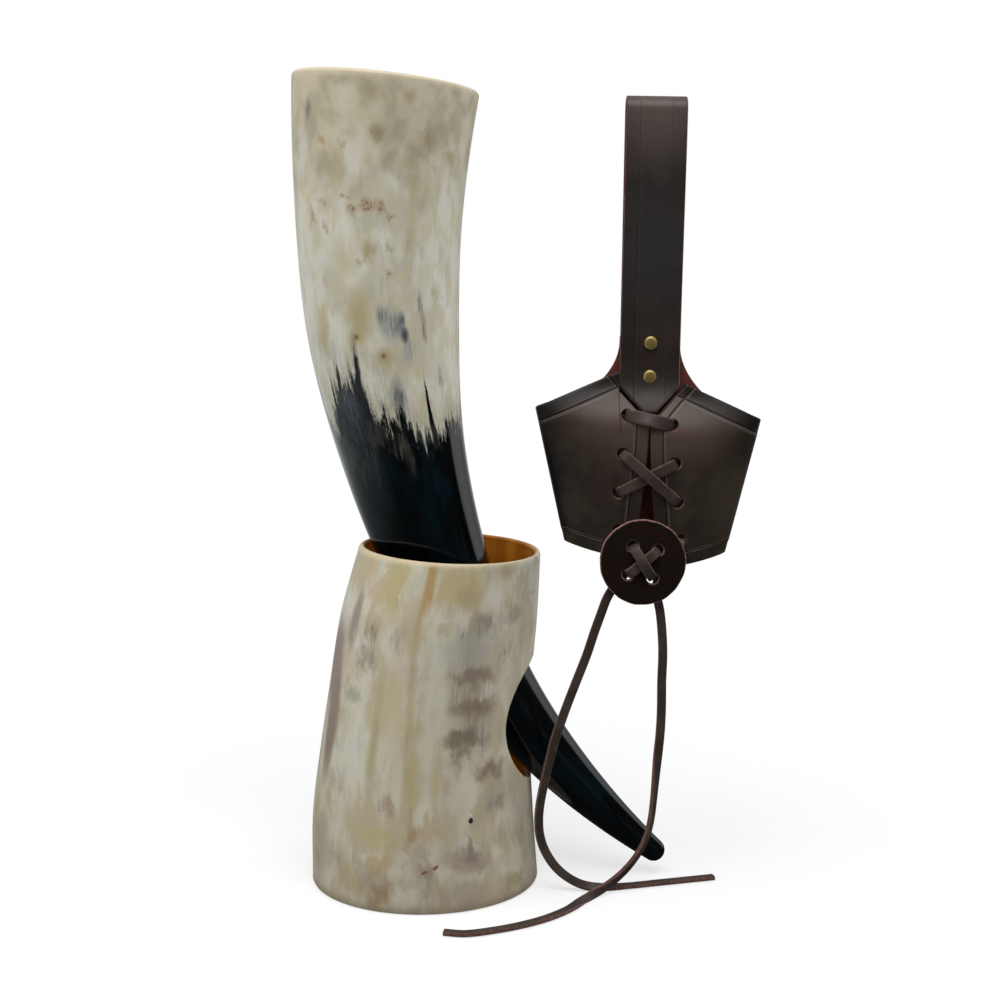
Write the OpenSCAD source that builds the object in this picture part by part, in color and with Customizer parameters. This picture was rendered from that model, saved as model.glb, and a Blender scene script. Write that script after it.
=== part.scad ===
// Drinking horn in a stand cut from a wider horn, with its leather belt holster.
// Millimetres. Origin: middle of the stand's foot. +Z is up, and +X is the side
// where the horn's tip comes out. The holster hangs beside the horn on +X.

/* [Horn] */
// Length along the middle of the horn, from the rim to the middle of the tip ball
horn_length = 367; // [355:1:375]
// Sideways place of the rim's middle
horn_rim_x = -14.5; // [-17:0.5:-12]
// Height of the rim's middle
horn_rim_z = 341.5; // [339:0.5:350]
// Outside diameter at the rim
horn_rim_d = 78.5; // [74:0.5:84]
// Outside diameter one seventh of the way down
horn_shoulder_d = 70.5; // [66:0.5:75]
// Outside diameter two sevenths of the way down
horn_chest_d = 64; // [60:0.5:68]
// Outside diameter three sevenths of the way down
horn_waist_d = 53; // [50:0.5:55]
// Outside diameter four sevenths of the way down
horn_middle_d = 43.5; // [40:0.5:45]
// Outside diameter five sevenths of the way down
horn_low_d = 32.5; // [30:0.5:34]
// Outside diameter six sevenths of the way down
horn_neck_d = 22; // [20:0.5:24]
// Diameter of the rounded tip
horn_tip_d = 10; // [8:0.5:12]
// Wall at the rim
horn_wall = 3; // [2:0.25:4]
// Wall where the hollow ends
horn_deep_wall = 8; // [6:0.5:10]
// Depth of the hollow, along the middle
hollow_depth = 240; // [200:5:250]
// Length of the rounded bottom of the hollow
hollow_round = 24; // [16:1:32]

/* [Stand] */
// Height of the rim's middle
stand_height = 147; // [142:1:152]
// Outside diameter of the foot
stand_base_d = 99; // [95:0.5:103]
// Outside diameter one fifth of the way up
stand_low_d = 96.5; // [93:0.5:100]
// Outside diameter two fifths of the way up
stand_waist_d = 91.5; // [89:0.5:95]
// Outside diameter three fifths of the way up
stand_middle_d = 87.5; // [85:0.5:91]
// Outside diameter four fifths of the way up
stand_high_d = 85; // [82:0.5:88]
// Outside diameter at the rim
stand_rim_d = 78; // [76:0.5:82]
// How far the rim's middle lies to the side of the foot's middle
stand_lean = 11.5; // [10:0.5:13]
// Wall at the rim
stand_wall = 2.6; // [2:0.2:3.4]
// Wall at the foot
stand_foot_wall = 3.6; // [3:0.2:4.4]
// Slope of the rim across the stand, in degrees
rim_slope = 1.6; // [0:0.2:3]
// Extra height of the side hole above the horn
hole_slack = 2; // [1:0.5:5]
// How far the side hole is turned to the front, in degrees
hole_turn = 3; // [0:1:8]

/* [Holster] */
// Sideways place of the holster's middle
holster_x = 94.5; // [92:0.5:110]
// Place of the holster's middle plane, from front to back
holster_y = -10; // [-14:1:-8]
// Height of the sleeve's lower side corners
holster_z = 148; // [144:1:152]
// Lean of the whole holster, in degrees
holster_lean = 0.9; // [0:0.1:2]
// Thickness of the leather
leather_t = 2.2; // [1.8:0.1:2.6]
// Width of the flattened sleeve at its upper side corners
sleeve_top_w = 93; // [88:1:98]
// Width of the flattened sleeve at its lower side corners
sleeve_low_w = 66.5; // [62:0.5:72]
// Height of the sleeve at its side folds
sleeve_h = 57; // [54:1:60]
// Half the depth of the sleeve, to the middle of the leather
sleeve_bulge = 9.5; // [8.5:0.5:12]
// How far the lower edge dips in the middle
low_dip = 6; // [3:0.5:9]
// How far the front wings rise from the side corners to their inner corners
wing_rise = 13.5; // [10:0.5:15]
// Room between the strap's edge and a wing's inner corner
wing_room = 4; // [3.5:0.5:6]
// Height where the wings' slanted cuts meet
notch_h = 52; // [46:0.5:52.5]
// How far the left wing sits higher than the right one, at the lacing
wing_step = 3.8; // [0:0.2:4.4]
// Gap between the front edges at the top
front_gap = 0.6; // [0.4:0.1:2]
// Gap between the front edges at the bottom
front_low_gap = 8; // [4:0.5:10]
// Reach of the neck above the middle of the upper rivet
neck_over = 2; // [0:0.5:6]
// Reach of the neck's flare beyond the strap on each side
flare_w = 11; // [7:0.5:13]
// Height over which the sleeve draws in to the neck
neck_bend = 20; // [16:1:24]
// Width of the strap
strap_w = 25; // [22:0.5:26]
// Height of the strap's fold, from the lower side corners
strap_h = 187; // [160:1:200]
// Clear gap inside the belt loop, at its top
loop_gap = 7; // [5:0.5:10]
// Height of the strap's shoulders, where it starts to taper
shoulder_h = 68.5; // [67:0.5:69.5]
// Height of the strap's pointed end
point_h = 57.5; // [57:0.5:60]
// Width of the strap's pointed end
point_w = 3; // [2:0.5:5]

/* [Rivets] */
// Diameter of a rivet's cap
rivet_d = 6; // [5:0.5:8]
// Height of a rivet's dome
rivet_dome = 1.2; // [1:0.1:2]
// Height of the straight rim under the dome
rivet_rim = 0.6; // [0.4:0.1:1]
// Diameter of a rivet's post
post_d = 2.5; // [2:0.1:3]
// Height of the lower rivet
rivet_h = 72; // [71.5:0.5:73]
// Distance between the rivets
rivet_pitch = 14; // [11:0.5:14.5]

/* [Lace and disc] */
// Width of the flat lace
lace_w = 3.8; // [3.6:0.1:4.4]
// Thickness of the lace
lace_t = 1.8; // [1.4:0.1:2]
// Diameter of a lace hole in the leather
lace_hole_d = 5; // [4.8:0.1:5.6]
// Height of the top pair of holes
hole_top_h = 54.5; // [53:0.5:55]
// Distance from one pair of holes to the next
hole_pitch = 16.2; // [15:0.2:16.6]
// Distance across the top pair of holes
hole_top_w = 19; // [18:0.5:22]
// Distance across the fourth pair of holes
hole_low_w = 28; // [25:0.5:30]
// Diameter of the leather disc
disc_d = 36; // [33:1:40]
// Thickness of the leather disc
disc_t = 3; // [2:0.25:4]
// Sideways place of the disc from the holster's middle
disc_x = -2; // [-3:0.5:1]
// Height of the disc's middle, from the lower side corners
disc_h = -4.5; // [-8:0.5:-2]
// Width of the disc's pattern of four holes
disc_hole_w = 10.4; // [9.6:0.2:12]
// Height of the disc's pattern of four holes
disc_hole_h = 12; // [10:0.2:14]
// Turn of the disc's pattern of holes, in degrees
disc_turn = 8.5; // [0:0.5:15]

/* [Hidden] */
// Clear space between pieces that lie on each other
gap = 0.3;
// Overlap where two shapes of one piece join
weld = 0.1;
// How far cutters reach past what they cut
overrun = 5;
// Points round a ring of the horn or the stand, and of a lace
round_count = 40;
lace_count = 8;

// Lean of the horn's middle line from straight down, at each fifth of its length
horn_lean_angles = [-6, 1, 11.5, 23, 38.5, 52];
horn_rims = [horn_rim_d, horn_shoulder_d, horn_chest_d, horn_waist_d,
             horn_middle_d, horn_low_d, horn_neck_d, horn_tip_d] / 2;
stand_rims = [stand_base_d, stand_low_d, stand_waist_d,
              stand_middle_d, stand_high_d, stand_rim_d] / 2;
// Sideways place of the stand's middle at each fifth of its height
lean_shares = [0, -0.07, 0.035, 0.26, 0.58, 1];

function sum(v, i = 0) = i >= len(v) ? 0 : v[i] + sum(v, i + 1);
function unit(v) = v / norm(v);
function mix(a, b, t) = a + (b - a) * t;
// Share that eases in and out
function ease(t) = let (u = max(0, min(1, t))) u * u * (3 - 2 * u);
// Smooth curve through evenly spaced values, at share t of the way
function smooth_at(v, t) =
    let (n = len(v) - 1,
         p = max(0, min(1, t)) * n,
         k = min(floor(p), n - 1),
         f = p - k,
         b = v[k], c = v[k + 1],
         a = k == 0 ? 2 * b - c : v[k - 1],
         d = k + 2 > n ? 2 * c - b : v[k + 2])
    b + f * (c - a) / 2 + f * f * (a - 2.5 * b + 2 * c - d / 2)
      + f * f * f * (3 * b - a - 3 * c + d) / 2;

// Two triangles for the four corners of a small face
function pair(a, b, c, d) = [[a, b, c], [a, c, d]];

// Skin over a row of rings, closed by a point at each end
module closed_skin(rings, first, last) {
    n = len(rings[0]);
    m = len(rings);
    polyhedron(
        points = concat([for (r = rings) each r], [first, last]),
        faces = concat(
            [for (j = [0:m - 2], i = [0:n - 1]) each
                let (k = (i + 1) % n)
                pair(j * n + i, j * n + k, (j + 1) * n + k, (j + 1) * n + i)],
            [for (i = [0:n - 1]) [m * n, (i + 1) % n, i]],
            [for (i = [0:n - 1])
                [(m - 1) * n + i, (m - 1) * n + (i + 1) % n, m * n + 1]]));
}

// Skin over a row of rings whose last ring joins the first
module ring_skin(rings) {
    n = len(rings[0]);
    m = len(rings);
    polyhedron(
        points = [for (r = rings) each r],
        faces = [for (j = [0:m - 1], i = [0:n - 1]) each
            let (k = (i + 1) % n, q = (j + 1) % m)
            pair(j * n + i, j * n + k, q * n + k, q * n + i)]);
}

// Horn: the middle line is summed in short steps along its leans
horn_steps = 70;
function horn_lean(s) = smooth_at(horn_lean_angles, s / horn_length);
function horn_down(s) = [sin(horn_lean(s)), 0, -cos(horn_lean(s))];
function horn_right(s) = [cos(horn_lean(s)), 0, sin(horn_lean(s))];
function horn_r(s) = smooth_at(horn_rims, s / horn_length);
horn_line = [for (i = 0, p = [horn_rim_x, 0, horn_rim_z]; i <= horn_steps;
                  p = p + horn_down((i + 0.5) * horn_length / horn_steps)
                          * horn_length / horn_steps,
                  i = i + 1) p];
function horn_at(s) =
    let (q = min(s / horn_length, 1) * horn_steps,
         k = min(floor(q), horn_steps - 1))
    mix(horn_line[k], horn_line[k + 1], q - k)
        + max(0, s - horn_length) * horn_down(horn_length);
function horn_ring(s, r) =
    [for (i = [0:round_count - 1]) let (a = i * 360 / round_count)
        horn_at(s) + r * (horn_right(s) * cos(a) + [0, sin(a), 0])];
function hollow_r(s) =
    let (u = max(0, s - hollow_depth + hollow_round) / hollow_round)
    (horn_r(s) - mix(horn_wall, horn_deep_wall, s / hollow_depth))
        * sqrt(max(0, 1 - u * u));

lip_r = horn_wall / 2;
// Places of the rings as shares of the hollow, of the lip and of the outside
hollow_shares = [0.995, 0.985, 0.97, 0.95, 0.925, 0.9, 0.82, 0.74, 0.66, 0.58,
                 0.5, 0.42, 0.34, 0.26, 0.18, 0.1, 0.05];
outside_count = 30;
horn_rings = concat(
    [for (t = hollow_shares) horn_ring(t * hollow_depth, hollow_r(t * hollow_depth))],
    [for (a = [0:45:180])
        horn_ring(lip_r * (1 - sin(a)), horn_r(lip_r) - lip_r * (1 + cos(a)))],
    [for (k = [1:outside_count])
        horn_ring(mix(lip_r, horn_length, k / outside_count),
                  horn_r(mix(lip_r, horn_length, k / outside_count)))],
    [for (a = [25:25:75])
        horn_ring(horn_length + horn_tip_d / 2 * sin(a), horn_tip_d / 2 * cos(a))]);

module horn() {
    color("ivory")
        closed_skin(horn_rings, horn_at(hollow_depth),
                    horn_at(horn_length + horn_tip_d / 2));
}

// Stand: level rings whose slope grows towards the rim
function stand_x(z) = stand_lean * smooth_at(lean_shares, z / stand_height);
function stand_r(z) = smooth_at(stand_rims, z / stand_height);
function stand_in_r(z) = stand_r(z) - mix(stand_foot_wall, stand_wall, z / stand_height);
function stand_ring(z, r) =
    [for (i = [0:round_count - 1]) let (a = i * 360 / round_count)
        [stand_x(z) + r * cos(a), r * sin(a),
         z - r * cos(a) * tan(rim_slope) * pow(z / stand_height, 4)]];
edge_r = stand_wall / 2;
foot_r = stand_foot_wall / 4;
stand_count = 14;
stand_rings = concat(
    [for (k = [0:stand_count])
        let (z = mix(foot_r, stand_height - edge_r, k / stand_count))
        stand_ring(z, stand_in_r(z))],
    [for (a = [45:45:135])
        stand_ring(stand_height - edge_r + edge_r * sin(a),
                   stand_r(stand_height) - edge_r * (1 + cos(a)))],
    [for (k = [0:stand_count])
        let (z = mix(stand_height - edge_r, foot_r, k / stand_count))
        stand_ring(z, stand_r(z))],
    [stand_ring(foot_r / 3, stand_r(0) - foot_r / 3),
     stand_ring(0, stand_r(0) - foot_r),
     stand_ring(0, stand_in_r(0) + foot_r)]);

// Side hole: round, just open to the horn that lies in it
horn_marks = [for (k = [40:horn_steps]) k * horn_length / horn_steps];
horn_under = [for (s = horn_marks)
    let (p = horn_at(s) - horn_r(s) * horn_right(s)) [p[0], p[2]]];
horn_upper = [for (s = horn_marks)
    let (p = horn_at(s) + horn_r(s) * horn_right(s)) [p[0], p[2]]];
horn_middle = [for (s = horn_marks) let (p = horn_at(s)) [p[0], p[2]]];
// Distance past the wall's outer face, and past its inner face, against height
function past_outer(line) = [for (p = line) [p[0] - stand_x(p[1]) - stand_r(p[1]), p[1]]];
function past_inner(line) = [for (p = line) [p[0] - stand_x(p[1]) - stand_in_r(p[1]), p[1]]];
cross_z = lookup(0, past_outer(horn_middle));
hole_low_z = lookup(gap, past_outer(horn_under)) - gap;
hole_high_z = lookup(-gap, past_inner(horn_upper)) + hole_slack;
side_hole_d = hole_high_z - hole_low_z;
side_hole_z = (hole_high_z + hole_low_z) / 2;

module stand() {
    color("antiquewhite")
        difference() {
            ring_skin(stand_rings);
            translate([stand_x(cross_z), 0, side_hole_z])
                rotate([0, 0, -hole_turn])
                    rotate([0, 90, 0])
                        cylinder(d = side_hole_d, h = stand_base_d, $fn = 64);
        }
}

// Holster, in its own frame: x across, y to the back, z up from the side corners
module hang() {
    translate([holster_x, holster_y, holster_z])
        rotate([0, holster_lean, 0])
            children();
}
panel_t = leather_t + 2 * weld;
neck_y = panel_t / 2 + gap;
neck_h = rivet_h + rivet_pitch + neck_over;
bend_top = rivet_h - rivet_d / 2 - gap;
corner_x = strap_w / 2 + wing_room;
corner_a = asin(2 * corner_x / sleeve_top_w);
neck_a = asin((strap_w + 2 * weld) / sleeve_top_w);
flare_a = asin((strap_w + 2 * flare_w) / sleeve_top_w);
wing_a = 180 - corner_a;
// Share of the wings' rise that the back's edge has where the flare starts
flare_share = 0.65;
flare_h = sleeve_h + wing_rise * flare_share;
// How hollow the flare's curve is: 1 would be straight
flare_curve_share = 0.45;

function half_w(z) = mix(sleeve_low_w, sleeve_top_w, min(z / sleeve_h, 1)) / 2;
function bulge(z) = mix(sleeve_bulge, neck_y, ease((z - bend_top) / neck_bend + 1));
function edge_gap(z) = mix(front_low_gap, front_gap, ease(z / sleeve_h + low_dip / sleeve_h));
// Angle round the sleeve, 0 at the back, for column c from 0 to 2 on the right
function column_a(c, z) = c <= 1 ? c * wing_a
    : wing_a + (c - 1) * (corner_a - asin(edge_gap(z) / 2 / half_w(z)));
function column_low(c) = -low_dip * pow(cos(column_a(abs(c), 0)), 2);
function column_top(c) =
    let (a = column_a(abs(c), sleeve_h),
         x = sleeve_top_w / 2 * sin(a),
         side = sleeve_top_w / 2,
         t = (x - strap_w / 2) / flare_w)
    a <= neck_a + weld ? neck_h
    : a < flare_a ? mix(neck_h, flare_h, pow(t, flare_curve_share))
    : a < 90 ? mix(sleeve_h, flare_h, (side - x) / (side - strap_w / 2 - flare_w))
    : abs(c) <= 1 ? mix(sleeve_h, sleeve_h + wing_rise, (side - x) / (side - corner_x))
    : mix(sleeve_h + wing_rise, notch_h, abs(c) - 1);
function step_at(c) = -wing_step / 2 * sign(c) * sin(min(90, column_a(abs(c), 0)));
function leather_at(c, v) =
    let (z = mix(column_low(c), column_top(c), v),
         a = column_a(abs(c), z))
    [sign(c) * half_w(z) * sin(a), bulge(z) * cos(a), z + step_at(c)];
// Outward normal of the leather, from two short steps along it
nudge = 0.004;
function leather_n(c, v) =
    let (low = max(0, v - nudge), high = min(1, v + nudge),
         left = max(-2, c - nudge), right = min(2, c + nudge))
    unit(cross(leather_at(right, v) - leather_at(left, v),
               leather_at(c, high) - leather_at(c, low)) * -1);
function leather_side(c, v, side) = leather_at(c, v) + side * panel_t / 2 * leather_n(c, v);

// Columns of the right half, from the back to the front edge, and rows upwards
neck_c = neck_a / wing_a;
flare_c = flare_a / wing_a;
half_columns = concat([neck_c / 2, neck_c],
                      [for (k = [1:4]) mix(neck_c, flare_c, k / 4)],
                      [for (k = [1:16]) mix(flare_c, 1, k / 16)],
                      [1.25, 1.5, 1.75, 2]);
columns = concat([for (k = [len(half_columns) - 1:-1:0]) -half_columns[k]], [0],
                 half_columns);
// One row lies where the back turns flat, under the rivets
bend_share = (bend_top + low_dip) / (neck_h + low_dip);
row_shares = [0, 0.2, 0.4, 0.55, 0.65, 0.72, bend_share, 0.86, 0.93, 1];

module sleeve() {
    m = len(columns);
    n = len(row_shares);
    half = m * n;
    outer = [for (c = columns, v = row_shares) leather_side(c, v, 1)];
    inner = [for (c = columns, v = row_shares) leather_side(c, v, -1)];
    polyhedron(
        points = concat(outer, inner),
        faces = concat(
            [for (j = [0:m - 2], k = [0:n - 2]) each let (p = j * n + k)
                concat(pair(p, p + n, p + n + 1, p + 1),
                       pair(half + p, half + p + 1, half + p + n + 1, half + p + n))],
            [for (j = [0:m - 2]) each let (p = j * n, q = j * n + n - 1)
                concat(pair(q, q + n, half + q + n, half + q),
                       pair(p + n, p, half + p, half + p + n))],
            [for (k = [0:n - 2]) each let (p = k, q = (m - 1) * n + k)
                concat(pair(p, p + 1, half + p + 1, half + p),
                       pair(q + 1, q, half + q, half + q + 1))]));
}

// Strap: up from the neck, over the fold and down to its pointed end
loop_y = (loop_gap + leather_t) / 2;
loop_z = strap_h - leather_t / 2 - loop_y;
function strap_y(z) = z < neck_h ? bulge(z)
    : mix(neck_y, loop_y, ease((z - neck_h) / (loop_z - neck_h)));
strap_line = concat(
    [for (k = [0:14]) let (z = mix(point_h, neck_h, k / 14)) [-strap_y(z), z]],
    [for (k = [1:8]) let (z = mix(neck_h, loop_z, k / 8)) [-strap_y(z), z]],
    [for (a = [165:-15:15]) [loop_y * cos(a), loop_z + loop_y * sin(a)]],
    [for (k = [8:-1:0]) let (z = mix(neck_h, loop_z, k / 8)) [strap_y(z), z]],
    [[neck_y, neck_h - overrun]]);
function line_n(line, i) =
    let (d = unit(line[min(i + 1, len(line) - 1)] - line[max(i - 1, 0)])) [-d[1], d[0]];
function line_side(line, w) = [for (i = [0:len(line) - 1]) line[i] + w * line_n(line, i)];
function turned(v) = [for (i = [len(v) - 1:-1:0]) v[i]];

module strap() {
    slope = (shoulder_h - point_h) / (strap_w - point_w) * 2;
    intersection() {
        rotate([90, 0, 90])
            linear_extrude(height = strap_w, center = true)
                polygon(concat(line_side(strap_line, leather_t / 2),
                               turned(line_side(strap_line, -leather_t / 2))));
        rotate([90, 0, 0])
            linear_extrude(height = 2 * strap_w, center = true)
                polygon([[-point_w / 2, point_h - weld], [point_w / 2, point_h - weld],
                         [strap_w / 2 + overrun, shoulder_h + slope * overrun],
                         [strap_w / 2 + overrun, strap_h + overrun],
                         [-strap_w / 2 - overrun, strap_h + overrun],
                         [-strap_w / 2 - overrun, shoulder_h + slope * overrun]]);
    }
}

// Middle of a lace hole, on the middle of the leather: pair 0 to 3, side -1 or 1
function lace_hole(pair_no, side) =
    let (z = hole_top_h - pair_no * hole_pitch,
         x = mix(hole_top_w, hole_low_w, pair_no / 3) / 2)
    [side * x, -bulge(z) * sqrt(1 - pow(x / half_w(z), 2)), z - side * wing_step / 2];
rivet_hs = [rivet_h, rivet_h + rivet_pitch];

module holster_leather() {
    color([0.16, 0.12, 0.1])
        hang()
            difference() {
                union() {
                    sleeve();
                    strap();
                }
                for (k = [0:3], side = [-1, 1])
                    translate(lace_hole(k, side))
                        rotate([90, 0, 0])
                            cylinder(d = lace_hole_d, h = sleeve_bulge, center = true,
                                     $fn = 24);
                for (z = rivet_hs)
                    translate([0, 0, z])
                        rotate([90, 0, 0])
                            cylinder(d = post_d + gap, h = sleeve_bulge, center = true,
                                     $fn = 24);
            }
}

// Rivets: a domed cap in front, and a post with a flat head behind
strap_face = neck_y + leather_t / 2 + weld;
panel_face = neck_y + panel_t / 2 + weld;
socket_depth = rivet_rim;
module rivet_cap(z) {
    dome_r = (pow(rivet_d / 2, 2) + pow(rivet_dome, 2)) / (2 * rivet_dome);
    dome_a = asin(rivet_d / 2 / dome_r);
    color([0.62, 0.52, 0.3])
        hang()
            translate([0, -strap_face, z])
                rotate([90, 0, 0])
                    difference() {
                        rotate_extrude($fn = 48)
                            polygon(concat(
                                [[0, 0], [rivet_d / 2, 0]],
                                [for (k = [0:6]) let (a = dome_a * (1 - k / 6))
                                    [dome_r * sin(a),
                                     rivet_rim + dome_r * (cos(a) - cos(dome_a))]]));
                        translate([0, 0, -overrun])
                            cylinder(d = post_d + weld, h = overrun + socket_depth,
                                     $fn = 24);
                    }
}
module rivet_post(z) {
    color([0.55, 0.46, 0.27])
        hang()
            translate([0, panel_face, z])
                rotate([90, 0, 0]) {
                    cylinder(d = post_d,
                             h = panel_face + strap_face + socket_depth - weld, $fn = 24);
                    translate([0, 0, -rivet_rim])
                        cylinder(d = rivet_d, h = rivet_rim, $fn = 48);
                }
}

// Flat lace swept along points; faces gives the way its flat side looks at each
function lace_rings(points, faces) =
    [for (i = [0:len(points) - 1])
        let (d = unit(points[min(i + 1, len(points) - 1)] - points[max(i - 1, 0)]),
             w = unit(cross(d, faces[i])),
             n = cross(w, d))
        [for (k = [0:lace_count - 1]) let (a = (k + 0.5) * 360 / lace_count)
            points[i] + lace_w / 2 * cos(a) * w + lace_t / 2 * sin(a) * n]];
module lace(points, faces) {
    closed_skin(lace_rings(points, faces), points[0], points[len(points) - 1]);
}
// A strand comes out of hole a in a quarter turn, stands off by near, rises by
// lift halfway, and goes back into hole b
dive_share = 0.54;
dive_w = dive_share * lace_hole_d;
strand_steps = 8;
function strand_marks(long) = concat(
    [for (a = [0:30:60]) dive_w * (1 - cos(a))],
    [for (k = [0:strand_steps]) mix(dive_w, long - dive_w, k / strand_steps)],
    [for (a = [60:-30:0]) long - dive_w * (1 - cos(a))]);
function strand(a, b, deep, near, lift) =
    let (long = norm(b - a))
    [for (s = strand_marks(long))
        let (u = min(1, min(s, long - s) / dive_w))
        mix(a, b, s / long)
            + [0, mix(deep, -near, sqrt(u * (2 - u))) - lift * pow(sin(180 * s / long), 2), 0]];
module strand_lace(a, b, deep, near, lift) {
    points = strand(a, b, deep, near, lift);
    lace(points, [for (p = points) [0, -1, 0]]);
}
on_leather = panel_t / 2 + lace_t / 2 + gap;
// How far the sleeve swells between the holes of a pair
function swell(hole) = bulge(hole[2]) + hole[1];

module lace_top_bar() {
    color([0.25, 0.2, 0.18])
        hang()
            strand_lace(lace_hole(0, -1), lace_hole(0, 1), panel_t / 2, on_leather,
                        swell(lace_hole(0, 1)) + lace_t / 2);
}
module lace_cross_over() {
    color([0.25, 0.2, 0.18])
        hang()
            strand_lace(lace_hole(1, -1), lace_hole(2, 1), panel_t / 2, on_leather,
                        swell(lace_hole(1, 1)) + lace_t + 2 * gap);
}
module lace_cross_under() {
    color([0.25, 0.2, 0.18])
        hang()
            strand_lace(lace_hole(2, -1), lace_hole(1, 1), panel_t / 2, on_leather,
                        swell(lace_hole(1, 1)));
}
// Runs inside the sleeve, from hole to hole down each side. The lower ones turn
// out through the lowest holes and end on the first ring of a tail.
inside = [0, on_leather + gap, 0];
function hung(p) = [holster_x, holster_y, holster_z]
    + [p[0] * cos(holster_lean) + p[2] * sin(holster_lean), p[1],
       p[2] * cos(holster_lean) - p[0] * sin(holster_lean)];
function outlet(side, route) =
    let (a = hung(lace_hole(2, side) + inside),
         b = hung(lace_hole(3, side) + inside),
         hole = hung(lace_hole(3, side)),
         down = unit(b - a),
         out = route[0] - hole)
    concat([for (i = [0:3]) mix(a, b - dive_w * down, i / 3)],
           [for (a = [60:-30:0]) hole - dive_w * (1 - cos(a)) * down + sin(a) * inside],
           [for (a = [30, 60]) hole + [(1 - cos(a)) * out[0], sin(a) * out[1],
                                       (1 - cos(a)) * out[2]]]);
outlet_faces = [for (a = [90, 90, 90, 90, 60, 30, 0, 30, 60]) [0, -sin(a), cos(a)]];
module outlet_run(side, route, faces) {
    rings = lace_rings(outlet(side, route), outlet_faces);
    closed_skin(concat(rings, [lace_rings(route, faces)[0]]),
                hung(lace_hole(2, side) + inside), route[0]);
}
module lace_inside_runs() {
    color([0.25, 0.2, 0.18]) {
        hang()
            for (side = [-1, 1]) {
                a = lace_hole(0, side) + inside;
                b = lace_hole(1, side) + inside;
                lace([for (i = [0:4]) mix(a, b, i / 4)], [for (i = [0:4]) [0, 1, 0]]);
            }
        outlet_run(-1, left_route, tail_faces(left_route, left_lie_from));
        outlet_run(1, right_route, tail_faces(right_route, right_lie_from));
    }
}

// Disc: in front of the sleeve, with the tails' upper ends behind it
disc_back = sleeve_bulge + panel_t / 2 + lace_t + 2 * gap;
disc_face = disc_back + disc_t;
function disc_hole(side, up) =
    let (x = side * disc_hole_w / 2, z = up * disc_hole_h / 2)
    [disc_x + x * cos(disc_turn) + z * sin(disc_turn), -disc_face,
     disc_h + z * cos(disc_turn) - x * sin(disc_turn)];
module lace_disc() {
    color([0.2, 0.13, 0.11])
        hang()
            difference() {
                translate([disc_x, -disc_back, disc_h])
                    rotate([90, 0, 0])
                        cylinder(d = disc_d, h = disc_t, $fn = 64);
                for (side = [-1, 1], up = [-1, 1])
                    translate(disc_hole(side, up) - [0, overrun, 0])
                        rotate([-90, 0, 0])
                            cylinder(d = lace_hole_d, h = disc_t + 2 * overrun, $fn = 24);
            }
}
module lace_disc_over() {
    color([0.25, 0.2, 0.18])
        hang()
            strand_lace(disc_hole(-1, 1), disc_hole(1, -1), disc_t - gap, lace_t / 2 + gap,
                        lace_t + 2 * gap);
}
module lace_disc_under() {
    color([0.25, 0.2, 0.18])
        hang()
            strand_lace(disc_hole(-1, -1), disc_hole(1, 1), disc_t - gap, lace_t / 2 + gap, 0);
}

// Tails: routes chosen by hand, in the whole object's frame. They leave the
// lowest holes, pass behind the disc and come to rest on the floor.
left_route = [
    [81.5, -21.7, 153.5], [83.1, -21.7, 149.8], [84.6, -21.7, 145.6], [85.3, -21.7, 141],
    [84, -21.7, 136], [80.5, -21.7, 132], [77.8, -21.7, 127.5], [75.6, -21.7, 121.5],
    [72.8, -21.7, 113.5], [69.6, -21.7, 103.5], [65.8, -21.8, 93.5], [62, -22, 83.5],
    [59, -22, 75], [56.2, -22, 66.5], [53.6, -22, 56], [51.4, -22, 46],
    [50, -22, 38], [49.5, -22, 31.5], [50, -22, 25], [52, -22, 18.5],
    [56.2, -21.8, 11.5], [62, -21.4, 6], [69, -21.1, 2.4], [77, -20.7, 1.2],
    [89, -18, 1], [102, -14.4, 1], [115, -10.8, 1], [126.5, -7.6, 1]];
left_lie_from = 20;
right_route = [
    [107.2, -21.7, 149.4], [104.8, -21.7, 145.8], [102.2, -21.7, 142.2], [100, -21.7, 138.4],
    [98.8, -21.7, 133.6], [99, -21.7, 128], [100.2, -21.7, 122], [101.1, -21.7, 114],
    [101.6, -21.7, 104], [101.3, -21.8, 92], [101.3, -22, 80], [100.9, -22, 70],
    [100, -22, 60], [99.2, -22, 50], [98.4, -22, 40], [97.4, -22, 31.5],
    [95.6, -22, 24], [92.6, -22.2, 17.6], [88.4, -22.8, 11.8], [83.4, -24, 7],
    [78.2, -26, 3.6], [72.6, -29.6, 1.6], [66.8, -37, 1], [60.6, -46.2, 1],
    [52, -55, 1], [42, -62, 1], [31, -67.4, 1], [19.5, -71, 1], [10.5, -69.6, 1]];
right_lie_from = 19;
// The flat side looks to the front behind the disc, then aside while a tail
// hangs, and up where it lies
turn_from = 9;
turn_count = 4;
function tail_faces(route, lie_from) =
    [for (i = [0:len(route) - 1])
        let (t = ease((i - lie_from) / turn_count),
             s = ease((i - turn_from) / turn_count))
        unit(mix(mix([0, -1, 0], [0.5, -1, 0], s), [0, 0, 1], t))];

module lace_tail_left() {
    color([0.3, 0.2, 0.17])
        lace(left_route, tail_faces(left_route, left_lie_from));
}
module lace_tail_right() {
    color([0.3, 0.2, 0.17])
        lace(right_route, tail_faces(right_route, right_lie_from));
}

stand();
horn();
holster_leather();
rivet_cap(rivet_hs[1]);  // rivet_upper_cap
rivet_post(rivet_hs[1]);  // rivet_upper_post
rivet_cap(rivet_hs[0]);  // rivet_lower_cap
rivet_post(rivet_hs[0]);  // rivet_lower_post
lace_top_bar();
lace_cross_over();
lace_cross_under();
lace_inside_runs();
lace_tail_left();
lace_tail_right();
lace_disc();
lace_disc_over();
lace_disc_under();
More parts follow.
